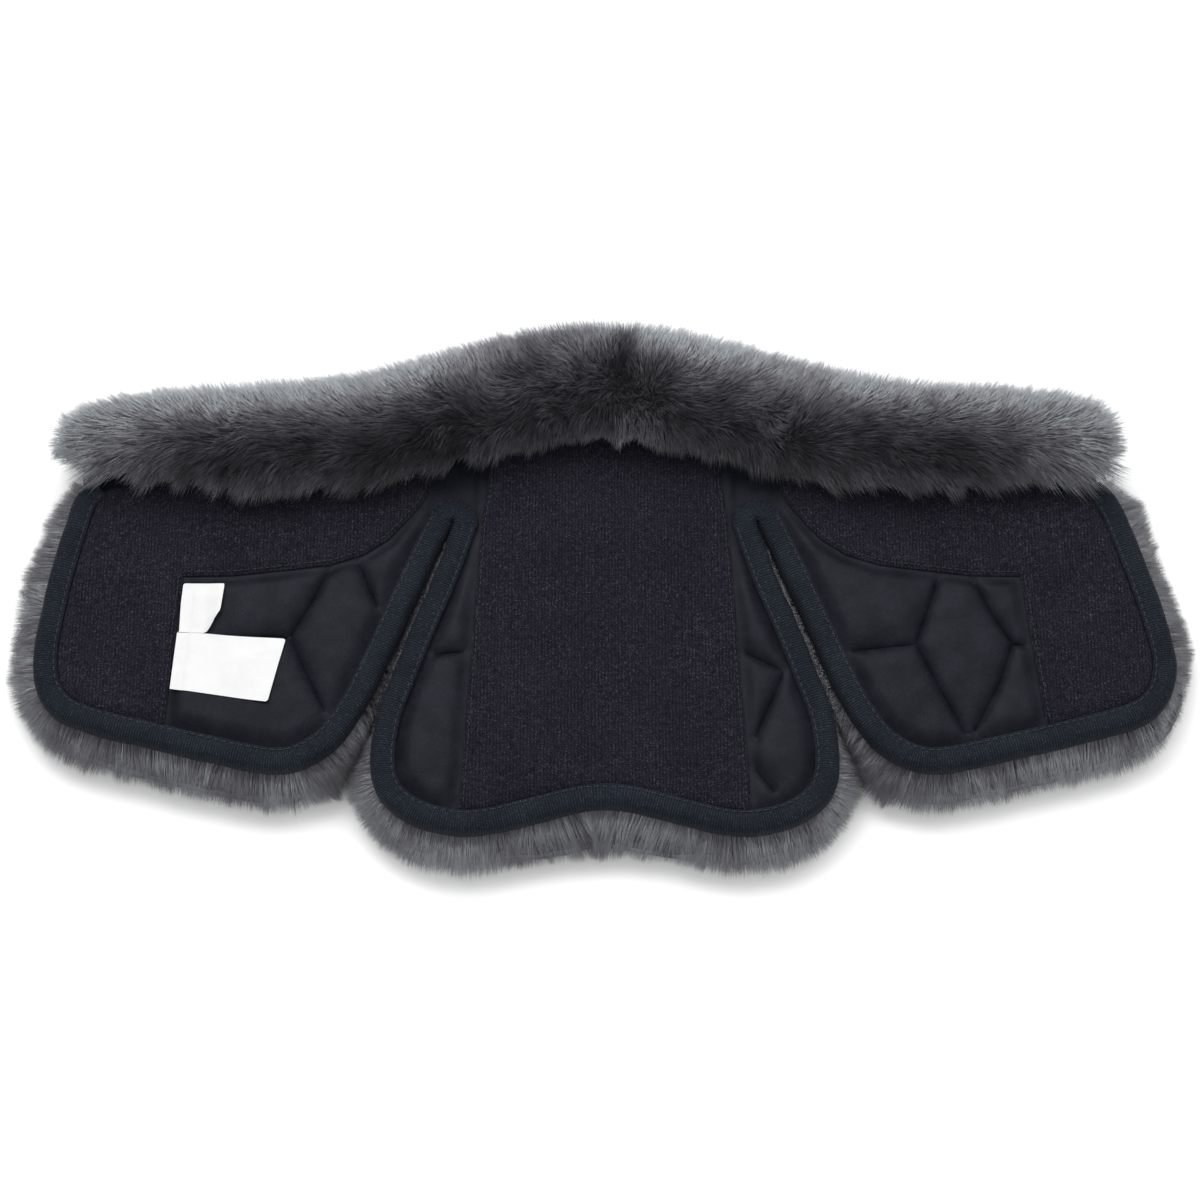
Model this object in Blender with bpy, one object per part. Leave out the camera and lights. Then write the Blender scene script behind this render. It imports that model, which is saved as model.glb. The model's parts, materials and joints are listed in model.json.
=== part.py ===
"""Lambskin cover for an anatomic short girth, lying on its wool with the lining up.

Frame: metres, +X to the right wing, +Y towards the rolled edge, +Z up, the floor at z = 0.
The three flaps are hinged on one line along X, at the top of the two slits.
"""

import math

import bpy
import bmesh
import numpy as np

MM = 0.001

# Heights of the layers above the floor, from the wool up.
WOOL_TOP = 21.9
SKIN_Z = (22.2, 23.4)
WADDING_Z = (23.7, 26.1)
LINING_Z = (26.4, 27.4)
LOOP_Z = (27.7, 28.9)
TAPE_TOP = 30.0
TAPE_FLOOR = 20.8
ROLL_TOP = 58.0

# Plan dimensions. Y is counted from 3 mm in front of the middle until main() moves every piece.
HINGE_Y = 37.0
MIDDLE_Y = 3.0
GAP = 0.15
TAPE_WIDTH = 10.5
TAPE_WALL = 1.2
LAYER_INSET = 1.6
PANEL_INSET = 10.9
LABEL_THICK = 0.4
SLIT_X = 69.0
SLIT_TURN_RADIUS = 11.4
THREAD_INSET = 9.0
THREAD_RADIUS = 0.35

# The left flap's edge from the hinge line round to the slit: x, y and how far the wool fringes out.
WING_EDGE = [
    (-244.5, 37.0, 10.0), (-250.0, 12.0, 11.5), (-254.2, -17.0, 13.0), (-254.5, -34.0, 13.5),
    (-251.0, -47.0, 14.0), (-242.5, -57.0, 14.5), (-229.0, -63.0, 15.0), (-212.0, -67.5, 15.5),
    (-194.0, -72.0, 16.0), (-175.0, -76.5, 16.0), (-157.0, -80.5, 15.5), (-143.5, -82.0, 15.0),
    (-131.0, -79.0, 13.5), (-119.0, -70.5, 7.2), (-109.5, -57.0, 3.4), (-102.0, -42.0, 2.3),
    (-91.0, -15.0, 1.2), (-80.2, 12.0, 1.1), (-69.5, 37.0, 0.25),
]
# Half of the centre flap's edge, from the hinge line down the left side to the middle.
CENTRE_EDGE = [
    (-68.5, 37.0, 0.25), (-76.6, 12.0, 1.1), (-87.0, -15.0, 1.2), (-96.6, -42.0, 2.3),
    (-100.8, -55.0, 3.2), (-103.0, -70.0, 6.8), (-102.5, -84.0, 12.5), (-98.0, -95.0, 14.5),
    (-90.0, -102.5, 15.0), (-80.0, -107.5, 14.8), (-66.0, -110.5, 14.5), (-52.0, -110.0, 14.5),
    (-37.0, -106.5, 17.0), (-22.0, -102.5, 19.0), (-10.0, -99.5, 19.0), (0.0, -98.8, 19.0),
]
# Outline of the left loop panel's free edge, from its lower corner to the hinge line.
WING_PANEL_EDGE = [
    (-195.0, -72.0), (-190.0, 10.5), (-167.0, 10.8), (-144.0, 13.5), (-124.0, 16.0),
    (-109.0, 21.0), (-98.0, 28.5), (-90.5, 37.0),
]
CENTRE_PANEL_X = (56.0, 64.0)

# The roll seen from above, as distance along X, far edge and near edge of its wool.
ROLL_PLAN = [
    (0.0, 131.0, 72.0), (23.0, 129.5, 69.5), (46.0, 124.5, 64.5), (69.0, 117.5, 57.5),
    (92.0, 110.5, 51.5), (115.0, 105.5, 48.5), (137.0, 101.5, 47.5), (160.0, 99.5, 48.0),
    (182.0, 98.5, 50.0), (204.0, 96.5, 52.5), (220.0, 93.5, 55.5), (230.0, 90.5, 57.5),
    (238.0, 86.0, 60.0), (245.0, 79.0, 63.5),
]
ROLL_CLOSED_FROM = 230.0

# The right end lies drawn in: the roll by this much at its tip, the flap by this much at the hinge.
ROLL_DRAWN_IN = 15.0
FLAP_DRAWN_IN = 7.0
FOLD_BACK = 28.0
FOLD_RADIUS = 8.3
FOLD_LIP = 40.0


def clear_scene():
    for obj in list(bpy.data.objects):
        bpy.data.objects.remove(obj)
    collection = bpy.data.collections.new("girth_cover")
    bpy.context.scene.collection.children.link(collection)
    return collection


def material(name, colour, roughness, metallic=0.0):
    mat = bpy.data.materials.new(name)
    mat.use_nodes = True
    shader = mat.node_tree.nodes["Principled BSDF"]
    shader.inputs["Base Color"].default_value = (*colour, 1.0)
    shader.inputs["Roughness"].default_value = roughness
    shader.inputs["Metallic"].default_value = metallic
    return mat


def make_materials():
    return {
        "wool": material("wool", (0.055, 0.055, 0.060), 0.95),
        "skin": material("skin", (0.085, 0.080, 0.080), 0.85),
        "wadding": material("wadding", (0.55, 0.55, 0.54), 0.95),
        "lining": material("lining", (0.016, 0.019, 0.027), 0.55),
        "loop": material("loop", (0.018, 0.017, 0.026), 0.95),
        "tape": material("tape", (0.014, 0.020, 0.029), 0.80),
        "thread": material("thread", (0.035, 0.045, 0.060), 0.60),
        "filling": material("filling", (0.50, 0.50, 0.48), 0.95),
        "label": material("label", (0.86, 0.86, 0.85), 0.60),
    }


def new_object(name, data, mat, collection):
    obj = bpy.data.objects.new(name, data)
    collection.objects.link(obj)
    data.materials.append(mat)
    return obj


def smooth(points, steps):
    """A curve through the points, with this many steps between each two."""
    p = np.array(points, float)
    first = 2 * p[0] - p[1]
    last = 2 * p[-1] - p[-2]
    p = np.vstack([first, p, last])
    out = []
    for i in range(1, len(p) - 2):
        for k in range(steps):
            t = k / steps
            a = 2 * p[i]
            b = p[i + 1] - p[i - 1]
            c = 2 * p[i - 1] - 5 * p[i] + 4 * p[i + 1] - p[i + 2]
            d = 3 * p[i] - p[i - 1] - 3 * p[i + 1] + p[i + 2]
            out.append(0.5 * (a + b * t + c * t * t + d * t ** 3))
    out.append(p[-2])
    return np.array(out)


def mirrored(points):
    """The same edge on the other side of the middle, still in the same turning sense."""
    out = np.array(points, float)[::-1].copy()
    out[:, 0] *= -1
    return out


def outward(edge):
    """Unit normals of an open edge with its inside on the left, level with the hinge line at both ends."""
    step = np.gradient(edge[:, :2], axis=0)
    normal = np.stack([step[:, 1], -step[:, 0]], axis=1)
    normal /= np.linalg.norm(normal, axis=1)[:, None]
    normal[0] = (math.copysign(1, normal[0, 0]), 0)
    normal[-1] = (math.copysign(1, normal[-1, 0]), 0)
    return normal


def offset(edge, distance):
    """The edge moved outwards, with its ends kept just short of the hinge line."""
    out = edge[:, :2] + outward(edge) * np.reshape(distance, (-1, 1))
    out[:, 1] = np.minimum(out[:, 1], HINGE_Y - GAP)
    return out


def slab(name, outline, z_range, mat, collection):
    """A flat layer of one thickness, from its outline."""
    curve = bpy.data.curves.new(name, "CURVE")
    curve.dimensions = "2D"
    curve.fill_mode = "BOTH"
    curve.extrude = (z_range[1] - z_range[0]) / 2 * MM
    spline = curve.splines.new("POLY")
    spline.points.add(len(outline) - 1)
    for point, (x, y) in zip(spline.points, outline):
        point.co = (x * MM, y * MM, 0, 1)
    spline.use_cyclic_u = True
    obj = new_object(name, curve, mat, collection)
    obj.location.z = (z_range[0] + z_range[1]) / 2 * MM
    return obj


def loft(name, sections, mat, collection, ring=False, rounded=True):
    """A closed solid through sections of equal point count. The sections' own ends are joined if
    each is a closed outline, and the first and last sections are capped unless they form a ring."""
    mesh = bpy.data.meshes.new(name)
    bm = bmesh.new()
    rows = [[bm.verts.new(np.array(p) * MM) for p in section] for section in sections]
    count = len(rows[0])
    pairs = list(zip(rows, rows[1:] + rows[:1])) if ring else list(zip(rows, rows[1:]))
    for a, b in pairs:
        for i in range(count):
            j = (i + 1) % count
            bm.faces.new((a[i], a[j], b[j], b[i]))
    if not ring:
        bm.faces.new(rows[0][::-1])
        bm.faces.new(rows[-1])
    if bm.calc_volume(signed=True) < 0:
        bmesh.ops.reverse_faces(bm, faces=bm.faces)
    bm.to_mesh(mesh)
    bm.free()
    if rounded:
        mesh.shade_smooth()
    return new_object(name, mesh, mat, collection)


def drawn_in(points):
    """Points of the right wing, with its outer end pulled inwards more and more towards the roll."""
    out = np.array(points, float)
    outer = np.clip((out[:, 0] - 130) / 90, 0, 1)
    behind = np.maximum((out[:, 1] + 30) / (HINGE_Y + 30), 0)
    out[:, 0] -= FLAP_DRAWN_IN * outer * behind
    return out


def roll_place(x, sign):
    """Where a station of the roll lies along X on this side."""
    if sign < 0:
        return -x
    return x - ROLL_DRAWN_IN * max(0.0, (x - 150) / 95) ** 2


def flap_edges():
    left = smooth(WING_EDGE, 2)
    half = smooth(CENTRE_EDGE, 2)
    centre = np.vstack([half, mirrored(half)[1:]])
    return {"left": left, "centre": centre, "right": drawn_in(mirrored(left))}


def wool_pile(name, edge, mat, collection):
    """The wool under one flap: its rim swells out past the binding and its top tucks under the skin."""
    reach = edge[:, 2]
    profile = [
        (0.0, 0.45, 0.0), (1.5, 0.75, 0.0), (5.0, 0.95, 0.0), (10.0, 1.0, 0.0),
        (15.0, 0.86, 0.0), (18.5, 0.5, 0.0), (20.4, 0.0, -0.4), (20.5, 0.0, -8.8),
        (WOOL_TOP, 0.0, -9.3),
    ]
    sections = []
    for z, share, inset in profile:
        ring = offset(edge, reach * share + inset)
        sections.append([(x, y, z) for x, y in ring])
    return loft(name, sections, mat, collection)


# Section of the folded binding: distance in from the edge, and height. It has a wall, a leg on the
# lining and a leg under the skin.
TAPE_SECTION = [
    (0.0, TAPE_FLOOR + 0.9), (0.9, TAPE_FLOOR), (8.0, TAPE_FLOOR), (8.0, SKIN_Z[0] - 0.3),
    (TAPE_WALL, SKIN_Z[0] - 0.3), (TAPE_WALL, LOOP_Z[0]), (TAPE_WIDTH, LOOP_Z[0]),
    (TAPE_WIDTH, TAPE_TOP - 0.9), (TAPE_WIDTH - 1.2, TAPE_TOP), (1.8, TAPE_TOP),
    (0.0, TAPE_TOP - 1.8),
]


def tape(name, edge, mat, collection):
    """The binding along a flap's edge."""
    normal = outward(edge)
    rows = []
    for (x, y), n in zip(offset(edge, np.zeros(len(edge))), normal):
        rows.append([(x - n[0] * u, y - n[1] * u, z) for u, z in TAPE_SECTION])
    return loft(name, rows, mat, collection, rounded=False)


def thread(name, line, z, mat, collection):
    """A row of lockstitch as one low ridge."""
    curve = bpy.data.curves.new(name, "CURVE")
    curve.dimensions = "3D"
    curve.bevel_depth = THREAD_RADIUS * MM
    curve.bevel_resolution = 0
    curve.use_fill_caps = True
    spline = curve.splines.new("POLY")
    spline.points.add(len(line) - 1)
    for point, (x, y) in zip(spline.points, line):
        point.co = (x * MM, y * MM, z * MM, 1)
    return new_object(name, curve, mat, collection)


def level_at(line, x):
    """The point of a line at this x, where the line last crosses it."""
    for a, b in reversed(list(zip(line, line[1:]))):
        if min(a[0], b[0]) <= x <= max(a[0], b[0]):
            share = (x - a[0]) / (b[0] - a[0])
            return (x, a[1] + (b[1] - a[1]) * share)
    return tuple(line[-1])


def wing_panel(edge, side):
    """The L-shaped panel: along the flap's outer edge and bottom, and across under the roll."""
    inner = offset(edge, -PANEL_INSET)
    free = np.array(WING_PANEL_EDGE, float)
    free[:, 0] *= -side
    free[-1, 1] = HINGE_Y - GAP
    if side > 0:
        free = drawn_in(free)
    if side > 0:
        inner = inner[::-1]
    outer = [p for p in inner[: len(inner) // 2] if abs(p[0]) > abs(free[0, 0])]
    corner = level_at(inner[: len(inner) // 2 + 6], free[0, 0])
    return outer + [corner] + [tuple(p) for p in free[1:]]


def centre_panel(edge):
    inner = offset(edge, -PANEL_INSET)
    top, bottom = CENTRE_PANEL_X
    low = [p for p in inner if p[1] < -60]
    first = level_at([p for p in low if p[0] < 0], -bottom)
    last = level_at([p for p in low if p[0] > 0], bottom)
    low = [p for p in low if abs(p[0]) < bottom]
    return [(-top, HINGE_Y - GAP), first] + low + [last, (top, HINGE_Y - GAP)]


def layer_outline(edge):
    return offset(edge, -LAYER_INSET)


def build_flap(side, edge, mats, collection):
    outline = layer_outline(edge)
    wool_pile(f"{side}_flap_wool", edge, mats["wool"], collection)
    slab(f"{side}_flap_skin", outline, SKIN_Z, mats["skin"], collection)
    slab(f"{side}_flap_wadding", outline, WADDING_Z, mats["wadding"], collection)
    slab(f"{side}_flap_lining", outline, LINING_Z, mats["lining"], collection)
    if side == "centre":
        panel = centre_panel(edge)
    else:
        panel = wing_panel(edge, -1 if side == "left" else 1)
    slab(f"{side}_flap_loop_panel", panel, LOOP_Z, mats["loop"], collection)
    tape(f"{side}_flap_binding", edge, mats["tape"], collection)
    stitch_line = offset(edge, -THREAD_INSET)
    stitch_z = TAPE_TOP + THREAD_RADIUS + 0.1
    thread(f"{side}_flap_stitching", stitch_line, stitch_z, mats["thread"], collection)


def roll_at(x):
    """Far and near edge of the roll's wool at a station, counted from the middle."""
    plan = np.array(ROLL_PLAN)
    return np.interp(x, plan[:, 0], plan[:, 1]), np.interp(x, plan[:, 0], plan[:, 2])


def fold_at(x):
    """Centre of the skin's fold and the front of its upper leg, both along Y."""
    far, near = roll_at(x)
    share = min(1.0, (far - near) / 48.0)
    return far - FOLD_BACK * share, far - FOLD_LIP * share


def roll_stations(last):
    xs = [row[0] for row in ROLL_PLAN if row[0] <= last]
    xs[0] = GAP
    return xs


def arc(centre_y, centre_z, radius, start, end, steps):
    out = []
    for k in range(steps + 1):
        a = math.radians(start + (end - start) * k / steps)
        out.append((centre_y + radius * math.cos(a), centre_z + radius * math.sin(a)))
    return out


def roll_wool_section(x, sign):
    """Wool wrapped over the folded skin, open towards the flaps where the band enters it."""
    far, near = roll_at(x)
    end = min(1.0, max(0.0, (x - 200.0) / 45.0))
    top = ROLL_TOP - 7.0 * end ** 2
    base = 2.0 * end ** 2
    closing = max(0.0, (x - ROLL_CLOSED_FROM) / 15.0)
    fold_y, lip_y = fold_at(x)
    fold_z = SKIN_Z[0] + FOLD_RADIUS
    radius = (FOLD_RADIUS + 0.3) * (1 - 0.9 * closing)
    lip_y -= 0.3
    high = fold_z + radius
    under = LOOP_Z[1] + 0.4 + (fold_z - LOOP_Z[1]) * closing * 0.9
    width = far - near
    outer = [
        (fold_y, base), (far - 0.16 * width, base), (far - 0.06 * width, base + 5),
        (far, base + 15), (far - 0.01 * width, top - 27), (far - 0.07 * width, top - 14),
        (far - 0.2 * width, top - 5.5), (far - 0.35 * width, top - 1.2), (far - 0.5 * width, top),
        (far - 0.73 * width, top - 2.5), (far - 0.88 * width, top - 8),
        (far - 0.97 * width, top - 16), (near, top - 24), (near + 0.03 * width, under),
    ]
    inner = [(lip_y, under), (lip_y, high)]
    inner += arc(fold_y, fold_z, radius, 90, -90, 6)
    return [(roll_place(x, sign), y, z) for y, z in outer + inner]


def roll_skin_section(x, sign):
    """The band's skin, folded up and back over the filling."""
    fold_y, lip_y = fold_at(x)
    fold_z = SKIN_Z[0] + FOLD_RADIUS
    thick = SKIN_Z[1] - SKIN_Z[0]
    outer = arc(fold_y, fold_z, FOLD_RADIUS, -90, 90, 6)
    inner = arc(fold_y, fold_z, FOLD_RADIUS - thick, 90, -90, 6)
    section = [(HINGE_Y + GAP, SKIN_Z[0])] + outer + [(lip_y, outer[-1][1])]
    section += [(lip_y, inner[0][1])] + inner + [(HINGE_Y + GAP, SKIN_Z[1])]
    return [(roll_place(x, sign), y, z) for y, z in section]


def roll_filling_section(x, sign):
    fold_y, lip_y = fold_at(x)
    low = LOOP_Z[1] + 0.3
    high = SKIN_Z[0] + 2 * FOLD_RADIUS - 1.5
    section = [
        (lip_y, low), (fold_y + 6.2, low), (fold_y + 5.6, high - 4.2),
        (fold_y + 3.6, high - 1.5), (fold_y, high), (lip_y + 2, high), (lip_y, high - 2),
    ]
    return [(roll_place(x, sign), y, z) for y, z in section]


def build_roll(side, mats, collection):
    sign = -1 if side == "left" else 1
    wool = [roll_wool_section(x, sign) for x in roll_stations(250)]
    loft(f"{side}_roll_wool", wool, mats["wool"], collection)
    skin = [roll_skin_section(x, sign) for x in roll_stations(230)]
    loft(f"{side}_roll_skin", skin, mats["skin"], collection)
    filling = [roll_filling_section(x, sign) for x in roll_stations(230)]
    loft(f"{side}_roll_filling", filling, mats["filling"], collection)


def back_edge(inset, last):
    """The band's back edge inside the roll, from the right end to the left."""
    xs = [row[0] for row in ROLL_PLAN if row[0] <= last]
    right = [(roll_place(x, 1), fold_at(x)[0] - inset) for x in xs[::-1]]
    left = [(roll_place(x, -1), fold_at(x)[0] - inset) for x in xs[1:]]
    return right + left


# The band's outer edge on the left and the edge of the wool beside it, from the hinge line.
BAND_SIDE = [(-244.5, HINGE_Y + GAP), (-243.0, 44.0), (-240.0, 51.0), (-235.0, 57.0)]
BAND_WOOL_SIDE = [(-254.5, HINGE_Y + GAP), (-253.5, 43.0), (-250.0, 48.0), (-243.0, 51.5)]


def both_sides(left):
    """A line on the left, and the same line mirrored and drawn in on the right."""
    right = drawn_in([(-x, y) for x, y in left])
    return [tuple(p) for p in right], left[::-1]


def band_layer(name, z_range, mat, collection):
    right, left = both_sides([(x + LAYER_INSET, y) for x, y in BAND_SIDE])
    return slab(name, right + back_edge(1.5, 230) + left, z_range, mat, collection)


def band_wool(mat, collection):
    right, left = both_sides(BAND_WOOL_SIDE)
    back = back_edge(0.4, 245)
    rings = []
    for z, inset in ((0.0, 3.0), (4.0, 0.6), (10.0, 0.0), (17.0, 2.4), (20.5, 7.0)):
        ring = [(x - inset, y, z) for x, y in right[:3]] + [(*right[3], z)]
        ring += [(x, y, z) for x, y in back]
        ring += [(*left[0], z)] + [(x + inset, y, z) for x, y in left[1:]]
        rings.append(ring)
    return loft("band_wool", rings, mat, collection)


def band_panels(mats, collection):
    wing = [
        (90.5, HINGE_Y + GAP), (233.3, HINGE_Y + GAP), (231.5, 44.0), (229.5, 50.0),
        (226.0, 53.5), (204.0, 56.0), (182.0, 57.5), (137.0, 59.5), (100.0, 61.5),
        (79.0, 60.0), (80.0, 52.0), (84.0, 45.0),
    ]
    slab("right_band_loop_panel", drawn_in(wing), LOOP_Z, mats["loop"], collection)
    left = [(-x, y) for x, y in wing[::-1]]
    slab("left_band_loop_panel", left, LOOP_Z, mats["loop"], collection)
    half = [(56.0, HINGE_Y + GAP), (54.0, 51.0), (51.5, 75.0), (50.5, 80.5), (25.0, 87.0)]
    centre = half + [(0.0, 89.0)] + [(-x, y) for x, y in half[::-1]]
    slab("centre_band_loop_panel", centre, LOOP_Z, mats["loop"], collection)


def slit_turn(side, mat, collection):
    """Where the binding turns from one flap's edge to the next, at the top of the slit."""
    sign = -1 if side == "left" else 1
    outer = arc(0, 0, SLIT_TURN_RADIUS, 0, 180, 14)
    inner = arc(0, 0, 0.6, 180, 0, 4)
    outline = [(sign * SLIT_X + x, HINGE_Y + GAP + y) for x, y in outer + inner]
    slab(f"{side}_slit_binding", outline, (LOOP_Z[0], TAPE_TOP), mat, collection)


def band_binding(side, mat, collection):
    right, left = both_sides(BAND_SIDE)
    line = left if side == "left" else right
    sign = -1 if side == "left" else 1
    rows = []
    for x, y in line:
        rows.append([(x - sign * u, y, z) for u, z in TAPE_SECTION])
    loft(f"{side}_band_binding", rows, mat, collection, rounded=False)


def build_band(mats, collection):
    band_wool(mats["wool"], collection)
    band_layer("band_wadding", WADDING_Z, mats["wadding"], collection)
    band_layer("band_lining", LINING_Z, mats["lining"], collection)
    band_panels(mats, collection)
    for side in ("left", "right"):
        build_roll(side, mats, collection)
        slit_turn(side, mats["tape"], collection)
        band_binding(side, mats["tape"], collection)


def build_labels(mats, collection):
    """Two woven labels sewn by their left edge into the left panel's vertical edge."""
    z = (LOOP_Z[0], LOOP_Z[0] + LABEL_THICK)
    size = [(-189.4, 6.0), (-190.9, -15.6), (-175.5, -14.0), (-171.8, -8.0), (-170.6, 5.0)]
    slab("size_label", size[::-1], z, mats["label"], collection)
    maker = [(-191.1, -17.6), (-193.0, -44.6), (-149.2, -51.4), (-142.4, -21.0)]
    slab("maker_label", maker[::-1], z, mats["label"], collection)


def main():
    collection = clear_scene()
    mats = make_materials()
    for side, edge in flap_edges().items():
        build_flap(side, edge, mats, collection)
    build_band(mats, collection)
    build_labels(mats, collection)
    for obj in collection.objects:
        obj.location.y -= MIDDLE_Y * MM


main()
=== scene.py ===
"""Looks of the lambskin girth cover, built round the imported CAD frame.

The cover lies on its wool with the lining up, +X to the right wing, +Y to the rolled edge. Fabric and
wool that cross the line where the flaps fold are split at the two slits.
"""

import json
import math

import bmesh
import bpy
import numpy as np
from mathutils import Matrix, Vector, kdtree
from mathutils.bvhtree import BVHTree
from mathutils.geometry import delaunay_2d_cdt

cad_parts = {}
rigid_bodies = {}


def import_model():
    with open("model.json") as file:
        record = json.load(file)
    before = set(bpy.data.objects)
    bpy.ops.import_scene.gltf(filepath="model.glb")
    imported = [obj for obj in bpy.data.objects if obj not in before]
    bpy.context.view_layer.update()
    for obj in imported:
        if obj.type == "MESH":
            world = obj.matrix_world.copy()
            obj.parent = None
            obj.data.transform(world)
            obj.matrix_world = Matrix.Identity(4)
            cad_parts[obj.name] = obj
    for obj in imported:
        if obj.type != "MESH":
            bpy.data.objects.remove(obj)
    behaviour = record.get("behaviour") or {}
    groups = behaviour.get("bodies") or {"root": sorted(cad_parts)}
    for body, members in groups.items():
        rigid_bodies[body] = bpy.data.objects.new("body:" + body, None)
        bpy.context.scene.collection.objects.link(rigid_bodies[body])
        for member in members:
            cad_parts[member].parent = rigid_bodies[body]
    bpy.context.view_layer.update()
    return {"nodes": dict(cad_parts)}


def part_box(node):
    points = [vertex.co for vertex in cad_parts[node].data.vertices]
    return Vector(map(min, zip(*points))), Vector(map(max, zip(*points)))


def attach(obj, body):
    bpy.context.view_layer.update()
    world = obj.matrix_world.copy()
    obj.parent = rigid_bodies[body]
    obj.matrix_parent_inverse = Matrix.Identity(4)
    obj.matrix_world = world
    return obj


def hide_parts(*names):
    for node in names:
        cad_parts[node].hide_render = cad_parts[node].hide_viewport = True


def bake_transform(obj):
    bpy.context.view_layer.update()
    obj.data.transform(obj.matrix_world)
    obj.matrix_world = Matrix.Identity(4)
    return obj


for startup in list(bpy.data.objects):
    bpy.data.objects.remove(startup)
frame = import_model()

MM = 0.001
SIDES = ("left", "centre", "right")
NODES = frame["nodes"]


def heights(node):
    """A CAD node's lowest and highest height above the floor."""
    return [round(corner.z / MM, 2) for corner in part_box(node)]


# Heights above the floor. The pads and the skin are a little thinner than their solids.
THINNER = 0.1
PAD_BOTTOM, PAD_TOP = heights("left_flap_wadding")[0], heights("left_flap_lining")[1] - THINNER
PANEL_BOTTOM, PANEL_TOP = heights("left_flap_loop_panel")
SKIN_BOTTOM, SKIN_TOP = heights("left_flap_skin")[0] + THINNER, heights("left_flap_skin")[1] - THINNER
PILLOW_RISE = 2.2
TAPE_CROWN = 30.8
FLOOR_GAP = 0.3

# Plan, worked out from the fold line and the slits of the CAD frame.
FOLD_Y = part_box("left_flap_lining")[1].y / MM + 0.15
SLIT_X = (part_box("right_slit_binding")[0].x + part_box("right_slit_binding")[1].x) / 2 / MM
TAPE_OVERLAP = 1.6
TAPE_WIDTH = 10.6
STITCH_INSET = 9.1
# Beyond this lie the band's two outer ends.
WING_X = 200.0
SLIT_SLANT = 17.0
# Size of the triangles that each fabric is made of.
LINING_STEP, PANEL_STEP, SKIN_STEP, LABEL_STEP = 1.7, 2.2, 4.0, 0.9

# Sewn quilting lines of each flap's lining, in plan.
QUILTING = {
    "left": [
        [(-123, 16), (-131, -4), (-141, -22), (-133, -40), (-124, -58)],
        [(-142.7, -22.1), (-168, -24)], [(-113, 18), (-102, -8)],
    ],
    "centre": [
        [(-86, -31), (-57, -28)], [(57, -26), (68, -32), (80, -38), (66, -70)],
        [(62, -79), (74, -94)], [(-66, -100), (-58, -84)],
    ],
    "right": [
        [(151, 9), (145, -8), (139, -25), (147, -43), (159, -67)],
        [(165, 8), (173, -10), (182, -25), (175, -45), (163, -67)],
        [(104, -29), (137.3, -25.2)], [(183.7, -25.2), (192, -26)],
    ],
}


# -------------------- materials

class Look:
    """A Principled material being built from textures, colour ramps and their product."""

    def __init__(self, name, colour, roughness, **sockets):
        self.mat = bpy.data.materials.new(name)
        self.mat.use_nodes = True
        self.nodes, self.links = self.mat.node_tree.nodes, self.mat.node_tree.links
        self.bsdf = self.nodes["Principled BSDF"]
        self.bsdf.inputs["Base Color"].default_value = (*colour, 1)
        self.bsdf.inputs["Roughness"].default_value = roughness
        for socket, value in sockets.items():
            self.bsdf.inputs[socket.replace("_", " ")].default_value = value

    def texture(self, kind, stretch, **inputs):
        """A texture node in object space, stretched along each axis."""
        coordinates = self.nodes.new("ShaderNodeTexCoord")
        mapping = self.nodes.new("ShaderNodeMapping")
        mapping.inputs["Scale"].default_value = stretch
        self.links.new(coordinates.outputs["Object"], mapping.inputs["Vector"])
        node = self.nodes.new(kind)
        for socket, value in inputs.items():
            node.inputs[socket].default_value = value
        self.links.new(mapping.outputs["Vector"], node.inputs["Vector"])
        return node

    def noise(self, scale, detail, roughness, stretch=(1, 1, 1)):
        values = {"Scale": scale, "Detail": detail, "Roughness": roughness}
        return self.texture("ShaderNodeTexNoise", stretch, **values).outputs["Fac"]

    def bands(self, scale, distortion, direction):
        values = {"Scale": 1.0, "Distortion": distortion, "Detail": 2.0}
        node = self.texture("ShaderNodeTexWave", (scale, scale, scale), **values)
        node.bands_direction = direction
        return node.outputs["Fac"]

    def ramp(self, source, *stops):
        """A colour ramp fed by a socket. Stops are (place, colour)."""
        node = self.nodes.new("ShaderNodeValToRGB")
        elements = node.color_ramp.elements
        while len(elements) < len(stops):
            elements.new(0.5)
        for element, (place, colour) in zip(elements, stops):
            element.position = place
            element.color = (*colour, 1)
        self.links.new(source, node.inputs["Fac"])
        return node.outputs["Color"]

    def colour(self, first, *layers):
        """Makes the product of some colours the base colour."""
        for layer in layers:
            node = self.nodes.new("ShaderNodeMix")
            node.data_type = "RGBA"
            node.blend_type = "MULTIPLY"
            node.inputs["Factor"].default_value = 1.0
            colour_a, colour_b, colour_out = node.inputs[6], node.inputs[7], node.outputs[2]
            self.links.new(first, colour_a)
            self.links.new(layer, colour_b)
            first = colour_out
        self.links.new(first, self.bsdf.inputs["Base Color"])

    def bumped(self, height, strength, distance):
        """Adds relief and returns the finished material."""
        node = self.nodes.new("ShaderNodeBump")
        node.inputs["Strength"].default_value = strength
        node.inputs["Distance"].default_value = distance
        self.links.new(height, node.inputs["Height"])
        self.links.new(node.outputs["Normal"], self.bsdf.inputs["Normal"])
        return self.mat


def pile_material():
    """The dense underwool between the locks: streaked and matt."""
    look = Look("underwool", (0.05, 0.05, 0.055), 0.95, Specular_IOR_Level=0.1)
    streaks = look.noise(1.0, 4, 0.7, (900, 900, 260))
    look.colour(look.ramp(
        streaks, (0.3, (0.035, 0.035, 0.039)), (0.55, (0.070, 0.070, 0.077)), (0.8, (0.12, 0.12, 0.128))))
    return look.bumped(streaks, 0.8, 0.0012)


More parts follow.
